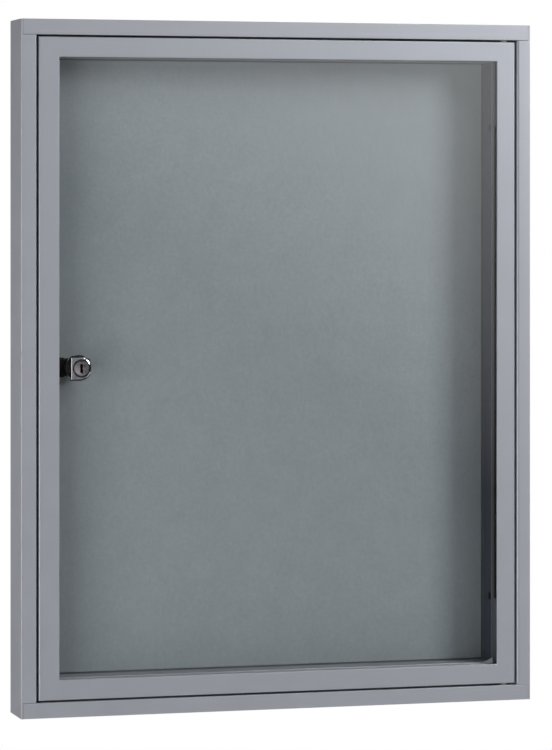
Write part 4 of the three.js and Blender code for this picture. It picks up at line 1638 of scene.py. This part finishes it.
@dataclass
class DoorFrame(Assembly):
    """The four mitred members of the door, its cleats and its pivots."""

    wall: float = 1.5
    thickness: float = 14.0
    lock_face: float = 20.4
    hinge_face: float = 19.0
    rail_face: float = 19.7
    lip: float = 2.0
    rebate: float = 7.0
    edge_round: float = 1.2
    lip_round: float = 0.6
    inner_rounds: Spot = (0.2, 0.15, 0.4)
    mitre_gap: float = 0.02
    pin_radius: float = 2.0
    pin_low: float = 312.9
    pin_high: float = 333.6
    pin_points: Point = (0.4, 0.6)
    pin_hole: Point = (-1.8, 4.0)
    bracket_round: float = 0.15
    bracket_corner: float = 1.0
    ear_round: float = 0.4
    bracket_front: float = 14.2
    bracket_back: float = 15.4
    bracket_left: float = 203.2
    bracket_right: float = 226.8
    bracket_foot: float = -320.8
    bracket_ledge: float = -304.8
    bracket_ear: float = 5.6
    bracket_ear_width: float = 11.6

    def section(self, face: float) -> list[Point]:
        """Draws a door member's section, in from the door's edge and back from its front.

        Args:
            face: Width of its front face.

        Returns:
            The outline.
        """
        tube, (under, corner, rear) = face - self.rebate, self.inner_rounds
        return fillet([
            (0, 0, self.edge_round), (face, 0, self.lip_round), (face, self.lip, under),
            (tube, self.lip, corner), (tube, self.thickness, rear), (0, self.thickness, self.edge_round),
        ])

    def member(self, axis: Axis, outer: float, sign: int, face: float, ends: tuple[Point, Point]) -> Piece:
        """Models one hollow member with mitred ends.

        Args:
            axis: The axis it lies along.
            outer: Place of its outer edge.
            sign: Which way outwards is.
            face: Width of its front face.
            ends: For each end its outer corner along the axis, and the width of the face that it meets.

        Returns:
            The member.
        """
        lay, wall = LAYOUT, self.wall
        start, stop = ends[0][0], ends[1][0]
        piece = prism("member", axis, lay.lie(axis, outer, sign, self.section(face)), start, stop)
        inner, rear = face - self.rebate - wall, self.thickness - wall
        hollow = lay.lie(axis, outer, sign, [(wall, wall), (inner, wall), (inner, rear), (wall, rear)])
        combine(piece, [prism("hollow", axis, hollow, start - 1, stop + 1)])
        for way, (along, other) in zip((-1, 1), ends):
            point = (along - way * self.mitre_gap, 0, outer)
            normal = (way, 0, -sign * other / face)
            order = 1 if axis is Axis.X else -1  # along X as drawn, along Z with X and Z exchanged
            slice_off(piece, point[::order], normal[::order])
        return piece

    def pivots(self) -> None:
        """Models the two pins and the bracket at the foot of the hinge stile."""
        lay, radius, low, high = LAYOUT, self.pin_radius, self.pin_low, self.pin_high
        blunt, point = self.pin_points
        profile = [(0, low), (radius - blunt, low), (radius, low + blunt), (radius, high - point),
                   (radius - point, high), (0, high)]
        for end in End:
            points = [(r, end.value * along) for r, along in profile]
            pin = turned("pin", Axis.Z, points, lay.pivot(), PIN_STEPS)
            self.put(pin, f"pivot_pin_{end.name.lower()}", Body.DOOR, STEEL)
        right, left, bend = self.bracket_right, self.bracket_left, self.bracket_corner
        outline = fillet([
            (left, self.bracket_foot, bend), (right, self.bracket_foot, bend),
            (right, self.bracket_ledge + self.bracket_ear, self.ear_round),
            (right - self.bracket_ear_width, self.bracket_ledge, bend), (left, self.bracket_ledge, bend),
        ])
        piece = prism("bracket", Axis.Y, outline, lay.back(self.bracket_front), lay.back(self.bracket_back))
        soften(piece, self.bracket_round)
        # The bracket gets the lighter coat, painted light.
        self.put(piece, "pivot_bracket", Body.DOOR, BRACKET_PAINTED_LIGHT)

    def build(self) -> None:
        """Models and dresses the door's frame."""
        lay, rail, lock, hinge = LAYOUT, self.rail_face, self.lock_face, self.hinge_face
        left, right, top = lay.door_left, lay.door_right, lay.door_top
        for end in End:
            sign = end.value
            piece = self.member(Axis.X, sign * top, sign, rail, ((left, lock), (right, hinge)))
            hole = [sign * (top + place) for place in self.pin_hole]
            combine(piece, [rod(Axis.Z, self.pin_radius + GAP, hole, lay.pivot(), HOLE_STEPS)])
            self.put(piece, f"door_{end.name.lower()}_rail", Body.DOOR, DOOR_PAINT)
        for side, outer, face in ((Side.LOCK, left, lock), (Side.HINGE, right, hinge)):
            piece = self.member(Axis.Z, outer, side.value, face, ((-top, rail), (top, rail)))
            self.put(piece, f"door_{side.name.lower()}_stile", Body.DOOR, DOOR_PAINT)
        for side, end in CORNERS:
            self.keep(f"door_cleat_{corner_name(side, end)}", CLEAT)
        self.pivots()


@dataclass
class Glazing(Assembly):
    """The pane and the bars that hold it."""

    front: float = 2.2
    thickness: float = 4.0
    edge: float = 6.0
    edge_round: float = 0.4
    hole_radius: float = 9.5
    bar_depth: float = 4.2
    bar_half_length: float = 238.5
    rail_bar_left: float = -199.5
    rail_bar_right: float = 200.7
    bar_reach: float = 0.3
    rail_bar_setback: float = 2.0
    seat: float = 6.8
    groove: Point = (0.6, 0.5)
    bar_rounds: tuple[float, ...] = (0.15, 0.7, 0.1, 0.3)

    def pane(self) -> Piece:
        """Models the pane with ground edges and its hole for the lock.

        Returns:
            The pane.
        """
        lay, edge = LAYOUT, self.edge
        front, back = lay.back(self.front), lay.back(self.front + self.thickness)
        low = (lay.window_left - edge, front, -lay.window_top - edge)
        piece = block("pane", low, (lay.window_right + edge, back, lay.window_top + edge))
        through = (front - OVER, back + OVER)
        combine(piece, [rod(Axis.Y, self.hole_radius, through, (lay.lock_x, 0, 0), LOCK_STEPS)])
        soften(piece, self.edge_round)
        return piece

    def bar_section(self, setback: float) -> list[Point]:
        """Draws a bar's section with its groove, out from the window's edge and back from its front.

        Args:
            setback: Distance of its inner face from the window's edge.

        Returns:
            The outline.
        """
        front = self.front + self.thickness + GAP
        back = front + self.bar_depth
        half, deep = self.groove
        left, right = (setback + self.seat) / 2 - half, (setback + self.seat) / 2 + half
        glass, inner, rim, outer = self.bar_rounds
        return fillet([
            (setback, front, glass), (setback, back, inner), (left, back, rim), (left, back - deep, 0),
            (right, back - deep, 0), (right, back, rim), (self.seat, back, outer), (self.seat, front, glass),
        ], 4)

    def build(self) -> None:
        """Models and dresses the glazing."""
        lay, half = LAYOUT, self.bar_half_length
        self.put(self.pane(), "glass_pane", Body.DOOR, GLASS)
        upright, level = self.bar_section(-self.bar_reach), self.bar_section(self.rail_bar_setback)
        ends = (self.rail_bar_left, self.rail_bar_right)
        for name, axis, edge, inward, section, (start, stop) in (
            ("lock_side", Axis.Z, lay.window_left, 1, upright, (-half, half)),
            ("hinge_side", Axis.Z, lay.window_right, -1, upright, (-half, half)),
            ("top", Axis.X, lay.window_top, -1, level, ends),
            ("bottom", Axis.X, -lay.window_top, 1, level, ends),
        ):
            piece = prism("bar", axis, lay.lie(axis, edge, inward, section), start, stop)
            self.put(piece, f"glazing_bar_{name}", Body.DOOR, BLACK)


@dataclass
class Lock(Assembly):
    """The lock: head, barrel, plug, nut, case and bolt."""

    x: float = LAYOUT.lock_x
    centre: Spot = (LAYOUT.lock_x, LAYOUT.back(0), 0)
    head_half: float = 12.2
    head_left: float = 10.3
    head_right: float = 10.2
    head_front: float = -7.6
    head_back: float = 2.0
    head_round: float = 2.2
    head_edge_round: float = 0.4
    barrel_radius: float = 9.0
    barrel_end: float = 19.0
    thread_depth: float = 0.45
    thread_pitch: float = 1.0
    thread_ends: Point = (0.6, 1.2)
    neck: Point = (0.4, 1.0)
    barrel_chamfer: float = 0.5
    plug_radius: float = 6.2
    flange_radius: float = 7.9
    flange_thickness: float = 2.0
    groove: float = 0.8
    dish: tuple[Point, ...] = ((2.7, 0.4), (2.1, 0.0))
    dish_depth: float = 0.5
    plug_round: float = 0.12
    plug_chamfer: float = 0.3
    keyway_width: float = 2.9
    keyway_height: float = 8.8
    keyway_depth: float = 11.0
    ward_share: float = 0.22
    right_ward: tuple[float, ...] = (-1.2, -0.6, 1.4, 2.0)
    left_ward: tuple[float, ...] = (0.6, 0.0, -2.2, -2.8)
    washer_radius: float = 12.6
    washer_front: float = 6.4
    washer_thickness: float = 1.0
    washer_rounds: Point = (0.2, 0.3)
    nut_radius: float = 12.0
    nut_front: float = 7.6
    nut_back: float = 17.4
    nut_slot: Point = (1.5, 2.4)
    nut_rounds: Point = (0.3, 0.8)
    slot_round: float = 0.2
    case_front: float = 17.6
    case_back: float = 30.2
    case_wall: float = 1.6
    case_round: float = 0.25
    cover_round: float = 0.3
    case_corners: tuple[Corner, ...] = (
        (13.9, 8.5, 1.6), (-12.1, 8.5, 0.4), (-12.1, 9.5, 0.4), (-20.1, 9.5, 0.8),
        (-20.1, -9.5, 0.8), (-12.1, -9.5, 0.4), (-12.1, -8.5, 0.4), (13.9, -8.5, 1.6),
    )
    case_inside: Spot = (-10.5, 8.7, 7.3)
    case_guide: Point = (-24.0, 5.2)
    sink_radii: Point = (1.1, 1.94)
    sink_places: Spot = (-6.0, -1.0, -0.2)
    head_margin: float = 0.5
    mouth_margin: float = 0.3
    shaded_below: float = -5.0
    keyway_shade_from: float = 1.2
    bolt_front: float = 23.0
    bolt_back: float = 28.6
    bolt_tip: float = -19.9
    bolt_round: float = 0.15
    nose_round: float = 0.8
    bolt_corners: tuple[Point, ...] = (
        (-19.9, -5), (7, -5), (7, 6.9), (5.09, 6.9), (5.09, 1.8), (1.99, 1.8), (1.99, 6.9), (-0.2, 6.9),
        (-0.2, 5), (-19.9, 5),
    )

    def housing(self) -> Piece:
        """Models the D-shaped head with its threaded barrel and its bore.

        Returns:
            The housing.
        """
        half, left, radius = self.head_half, self.x - self.head_left, self.barrel_radius
        front = LAYOUT.back(self.head_front)
        curve = arc((self.x + self.head_right - half, 0), half, -math.pi / 2, math.pi, 48)
        outline = [(left, half), (left, -half), *curve]
        piece = prism("head", Axis.Y, outline, front, LAYOUT.back(self.head_back))

        def on_curve(a: Vector, b: Vector) -> bool:
            """Says whether an edge of the front face is on its curve."""
            return abs(a.y - front) < NEAR and abs(b.y - front) < NEAR and max(a.x, b.x) > left + NEAR

        bevel_edges(piece, on_curve, self.head_round, 6)
        bevel_edges(piece, lambda a, b: max(a.x, b.x) < left + NEAR, self.head_edge_round, 3)
        inset, sunk = self.neck
        thread: list[Point] = [(0, self.head_back - sunk), (radius - inset, self.head_back - sunk)]
        along = self.head_back + self.thread_ends[0]
        while along < self.barrel_end - self.thread_ends[1]:
            thread += [(radius - self.thread_depth, along), (radius, along + self.thread_pitch / 2)]
            along += self.thread_pitch
        thread += [(radius - self.barrel_chamfer, self.barrel_end), (0, self.barrel_end)]
        combine(piece, [turned("barrel", Axis.Y, thread, self.centre, LOCK_STEPS)], Way.JOIN)
        mouth, inside = self.flange_radius + GAP, self.plug_radius + GAP
        step = self.head_front + self.flange_thickness + 2 * GAP
        outside, beyond = self.head_front - OVER, self.barrel_end + OVER
        bore = [
            (0, outside), (mouth + self.groove, outside), (mouth + self.groove, self.head_front),
            (mouth, self.head_front + self.groove), (mouth, step), (inside, step), (inside, beyond),
            (0, beyond),
        ]
        combine(piece, [turned("bore", Axis.Y, bore, self.centre, LOCK_STEPS)])
        return piece

    def plug(self) -> Piece:
        """Models the plug with its dished face and its key slot.

        Returns:
            The plug.
        """
        front, flange, radius = self.head_front + GAP, self.flange_radius, self.plug_radius
        step, back = front + self.flange_thickness, self.barrel_end + GAP
        profile = [
            (0, front + self.dish_depth), *[(flange - inset, front + depth) for inset, depth in self.dish],
            (flange - self.groove, front), (flange, front + self.groove), (flange, step), (radius, step),
            (radius, back - self.plug_chamfer), (radius - self.plug_chamfer, back), (0, back),
        ]
        piece = turned("plug", Axis.Y, profile, self.centre, LOCK_STEPS)
        left, right = self.x - self.keyway_width / 2, self.x + self.keyway_width / 2
        half, ward = self.keyway_height / 2, self.keyway_width / 2 * self.ward_share
        insets = (0, ward, ward, 0)
        slot = [
            (left, -half), (right, -half), *[(right - inset, z) for inset, z in zip(insets, self.right_ward)],
            (right, half), (left, half), *[(left + inset, z) for inset, z in zip(insets, self.left_ward)],
        ]
        ends = (LAYOUT.back(front - OVER), LAYOUT.back(front + self.keyway_depth))
        combine(piece, [prism("keyway", Axis.Y, slot, *ends)])
        soften(piece, self.plug_round, 2, CUT_ANGLE)
        return piece

    def ring(self, name: str, radius: float, ends: Point, rounds: Point, steps: tuple[int, int]) -> Piece:
        """Models a ring that fits round the barrel.

        Args:
            name: Name of the new piece.
            radius: Its outer radius.
            ends: Depths of its front and rear.
            rounds: Roundings of its inner and outer edges.
            steps: Segments in a rounding and round the axis.

        Returns:
            The ring.
        """
        bore, (front, back), (inner, outer) = self.barrel_radius + GAP, ends, rounds
        corners = [(bore, front, inner), (radius, front, outer), (radius, back, outer), (bore, back, inner)]
        return turned(name, Axis.Y, fillet(corners, steps[0]), self.centre, steps[1])

    def nut(self) -> Piece:
        """Models the ring nut with its two key slots and rounded rims.

        Returns:
            The nut.
        """
        lay, (half, deep) = LAYOUT, self.nut_slot
        piece = self.ring("nut", self.nut_radius, (self.nut_front, self.nut_back), self.nut_rounds, (4, 72))
        front, back = lay.back(self.nut_back - deep), lay.back(self.nut_back + OVER)
        slots = []
        for sign in (-1, 1):
            low, high = sorted((sign * (self.barrel_radius + GAP + 1), sign * (self.nut_radius + OVER)))
            slots.append(block("nut_slot", (self.x - half, front, low), (self.x + half, back, high)))
        combine(piece, slots)
        soften(piece, self.slot_round, 2, CUT_ANGLE)
        return piece

    def outline(self, name: str, front: float, back: float) -> Piece:
        """Models a solid with the outline of the case, with the taller nose that guides the bolt.

        Args:
            name: Name of the new piece.
            front: Depth of its front.
            back: Depth of its rear.

        Returns:
            The solid.
        """
        corners = [(self.x + u, v, radius) for u, v, radius in self.case_corners]
        return prism(name, Axis.Y, fillet(corners), LAYOUT.back(front), LAYOUT.back(back))

    def screw_holes(self) -> list[Piece]:
        """Models the cutters of the cover's screw holes."""
        places = [(self.x + u, LAYOUT.back(LAYOUT.cover_back), v) for u, v in LAYOUT.cover_screws]
        return [countersink(Axis.Y, self.sink_radii, self.sink_places, place) for place in places]

    def case(self) -> Piece:
        """Models the case with its inside, its bolt guide and its bore for the barrel.

        Returns:
            The case.
        """
        lay, x = LAYOUT, self.x
        piece = self.outline("case", self.case_front, self.case_back)
        soften(piece, self.case_round, 3, CUT_ANGLE)
        floor = self.case_front + self.case_wall
        left, right, high = self.case_inside
        nose, guide = self.case_guide
        rear = lay.back(self.case_back + OVER)
        mouth = (self.case_front - OVER, floor + GAP)
        low = (x + nose, lay.back(self.bolt_front - GAP), -guide)
        tools = [
            block("inside", (x + left, lay.back(floor), -high), (x + right, rear, high)),
            block("guide", low, (x, lay.back(self.bolt_back + GAP), guide)),
            rod(Axis.Y, self.barrel_radius + GAP, mouth, self.centre, LOCK_STEPS),
            *self.screw_holes(),
        ]
        combine(piece, tools)
        return piece

    def cover(self) -> Piece:
        """Models the cover of the case.

        Returns:
            The cover.
        """
        piece = self.outline("cover", self.case_back + GAP, LAYOUT.cover_back)
        combine(piece, self.screw_holes())
        soften(piece, self.cover_round, 3, CUT_ANGLE)
        return piece

    def bolt(self) -> Piece:
        """Models the bolt with its driving slot and its eased nose.

        Returns:
            The bolt.
        """
        outline = [(self.x + u, v) for u, v in self.bolt_corners]
        piece = prism("bolt", Axis.Y, outline, LAYOUT.back(self.bolt_front), LAYOUT.back(self.bolt_back))
        tip = self.x + self.bolt_tip
        bevel_edges(piece, lambda a, b: abs(a.x - tip) < NEAR and abs(b.x - tip) < NEAR, self.nose_round, 3)
        soften(piece, self.bolt_round, 1, CUT_ANGLE)
        return piece

    def coats(self, housing: Piece, plug: Piece) -> None:
        """Gives the head's flat faces and the plug chromes of their own, and paints shade on the head's rims,
        in the mouth round the plug and in the key slot.

        Args:
            housing: The dressed housing.
            plug: The dressed plug.
        """
        flat, frontal, slanted = -0.97, -0.9, 0.3
        x, rim = self.x, LAYOUT.back(self.head_back) - self.head_margin
        reach = self.head_half - self.head_round - GAP
        mouth = self.flange_radius + self.groove + self.mouth_margin
        coat(housing, SATIN_CHROME, lambda centre, normal: normal.y < flat)
        # Painted shade and dark reflection: near-black chrome on the top and bottom rims towards the head's
        # flat side, on its downward faces low down, and in the mouth round the plug.
        for test in (
            lambda centre, normal: abs(normal.z) > slanted and abs(centre.z) > reach and centre.x < x + 2,
            lambda centre, normal: normal.z < -slanted and centre.z < self.shaded_below,
            lambda centre, normal: normal.y > frontal and math.hypot(centre.x - x, centre.z) < mouth,
        ):
            coat(housing, CHROME_PAINTED_SHADE, lambda centre, normal: centre.y < rim and test(centre, normal))
        coat(plug, PLUG_CHROME, lambda centre, normal: normal.y < -slanted)
        # Painted shade inside the key slot, from a little behind the head's front to the slot's depth.
        wide, high = self.keyway_width / 2 + 5 * NEAR, self.keyway_height / 2 + 5 * NEAR
        deep = LAYOUT.back(self.head_front) + self.keyway_shade_from
        coat(plug, KEYWAY_PAINTED_SHADE, lambda centre, normal: (
            abs(centre.x - x) < wide and abs(centre.z) < high and deep < centre.y < deep + self.keyway_depth))

    def build(self) -> None:
        """Models and dresses the lock."""
        housing = self.housing()
        self.put(housing, "lock_housing", Body.DOOR, CHROME)
        plug = self.plug()
        self.put(plug, "lock_plug", Body.PLUG, CHROME)
        self.coats(housing, plug)
        ends = (self.washer_front, self.washer_front + self.washer_thickness)
        washer = self.ring("washer", self.washer_radius, ends, self.washer_rounds, (3, LOCK_STEPS))
        self.put(washer, "lock_washer", Body.DOOR, RUBBER)
        self.put(self.nut(), "lock_nut", Body.DOOR, ZINC)
        self.put(self.case(), "lock_case", Body.DOOR, BLACK)
        self.put(self.cover(), "lock_cover", Body.DOOR, BLACK)
        self.put(self.bolt(), "lock_bolt", Body.BOLT, STEEL)
        self.keep("lock_drive_disc", STEEL)


@dataclass(frozen=True)
class Lamp:
    """A soft square lamp aimed at a point of the board, with its places and size in metres."""

    name: str
    place: Spot
    target: Spot
    size: float
    watts: float

    def build(self) -> None:
        """Adds the lamp."""
        data = bpy.data.lights.new(self.name, "AREA")
        data.shape = "RECTANGLE"
        data.size = data.size_y = self.size
        data.energy = self.watts
        lamp = bpy.data.objects.new(self.name, data)
        bpy.context.scene.collection.objects.link(lamp)
        lamp.location = self.place
        aim = Vector(self.target) - Vector(self.place)
        lamp.rotation_euler = aim.to_track_quat("-Z", "Y").to_euler()


@dataclass
class Studio:
    """The camera, the lamps, the floor and the white surroundings, with its places in metres."""

    focal_pixels: float = 3618.3
    frame_height: float = 750.0
    axis_row: float = 200.8
    yaw: float = 15.836
    camera_place: Spot = (-0.98456, -3.50583, 0.16355)
    sensor: float = 36.0
    ambient: float = 0.05
    ambient_blue: float = 1.02
    mirrored_ambient: float = 0.8
    mirrored_white: float = 0.09
    behind: Point = (0.5, 0.9)
    glow: float = 1.32
    glow_slope: Spot = (8.0, 10.5, -1.79)
    glow_top: float = 1.15
    glow_fade: tuple[Point, Point] = ((0.45, 0.65), (0.17, 0.33))
    floor_height: float = -1.05
    floor_size: float = 6.0
    lamps: list[Lamp] = field(default_factory=lambda: [
        Lamp("top_lamp", (0.7, -1.1, 1.3), (0.1, 0.0, 0.1), 0.6, 5.4),
        Lamp("right_lamp", (1.73, -1.57, 0.93), (0.0, 0.0, 0.0), 0.75, 28.5),
        Lamp("low_lamp", (1.2, -0.9, -0.6), (0.0, 0.0, 0.0), 0.5, 0.5),
        Lamp("left_lamp", (-1.2, -1.0, -0.2), (-0.1, 0.0, -0.1), 1.0, 9.3),
        Lamp("rear_lamp", (-1.4, 0.5, 0.0), (0.0, 0.0, 0.0), 1.2, 6.9),
    ])

    def camera(self) -> None:
        """Adds the camera: level, turned towards the board, its lens shifted down."""
        data = bpy.data.cameras.new("camera")
        data.sensor_fit = "VERTICAL"
        data.sensor_height = self.sensor
        data.lens = self.focal_pixels / self.frame_height * self.sensor
        data.shift_y = (self.axis_row - self.frame_height / 2) / self.frame_height
        data.clip_end = 100
        camera = bpy.data.objects.new("camera", data)
        bpy.context.scene.collection.objects.link(camera)
        camera.location = self.camera_place
        camera.rotation_euler = (math.pi / 2, 0, -math.radians(self.yaw))
        bpy.context.scene.camera = camera

    def floor(self) -> None:
        """Adds the floor, which stays below the picture."""
        clear_selection()
        bpy.ops.mesh.primitive_plane_add(size=1, location=(0, 0, 0))
        floor = bpy.context.object
        floor.name = "floor"
        size = Matrix.Diagonal((self.floor_size, self.floor_size, 1, 1))
        floor.data.transform(Matrix.Translation((0, 0, self.floor_height)) @ size)
        dress(floor, FLOOR)

    def surroundings(self) -> None:
        """Makes the world white behind the board, dim in front, with a glow that the glass mirrors."""
        world = bpy.data.worlds.new("studio")
        bpy.context.scene.world = world
        world.use_nodes = True
        book = NodeBook(world.node_tree)
        direction = book.add("ShaderNodeTexCoord", {}).outputs["Generated"]
        parts = book.add("ShaderNodeSeparateXYZ", {0: direction}).outputs
        behind = book.range(parts["Y"], 0, self.mirrored_white, self.behind)
        rightward, upward, start = self.glow_slope
        rise = book.sum(parts["Z"], upward, book.sum(parts["X"], rightward, start))
        glow = book.range(rise, 0, self.glow_top * self.glow, (0, self.glow_top))
        for part, fade in zip(("X", "Z"), self.glow_fade):
            glow = book.sum(glow, book.range(parts[part], 1, 0, fade), 0)
        level = self.ambient
        light = book.blend(book.seen(), (level, level, level * self.ambient_blue), (1, 1, 1))
        extra = book.sum(book.math("MAXIMUM", behind, glow), 1, -self.mirrored_ambient * level)
        mirrored = book.sum(book.rays()["Is Glossy Ray"], extra, 0)
        total = book.add("ShaderNodeMix", {0: 1, 6: light, 7: mirrored}, data_type="RGBA", blend_type="ADD")
        background = book.add("ShaderNodeBackground", {"Color": total.outputs[2]})
        book.add("ShaderNodeOutputWorld", {"Surface": background.outputs[0]})

    def build(self) -> None:
        """Sets up the whole studio."""
        bpy.context.scene.view_settings.view_transform = "Standard"
        self.camera()
        self.floor()
        self.surroundings()
        for lamp in self.lamps:
            lamp.build()


def main() -> None:
    """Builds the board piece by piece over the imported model, and the studio round it."""
    logging.basicConfig(level=logging.INFO, format="%(message)s")
    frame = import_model()
    for kind in (Casing, PinPanel, Rear, Recess, DoorFrame, Glazing, Lock, Screws):
        kind(frame).build()
        LOG.info("%s done", kind.__name__)
    Studio().build()


if __name__ == "__main__":
    main()
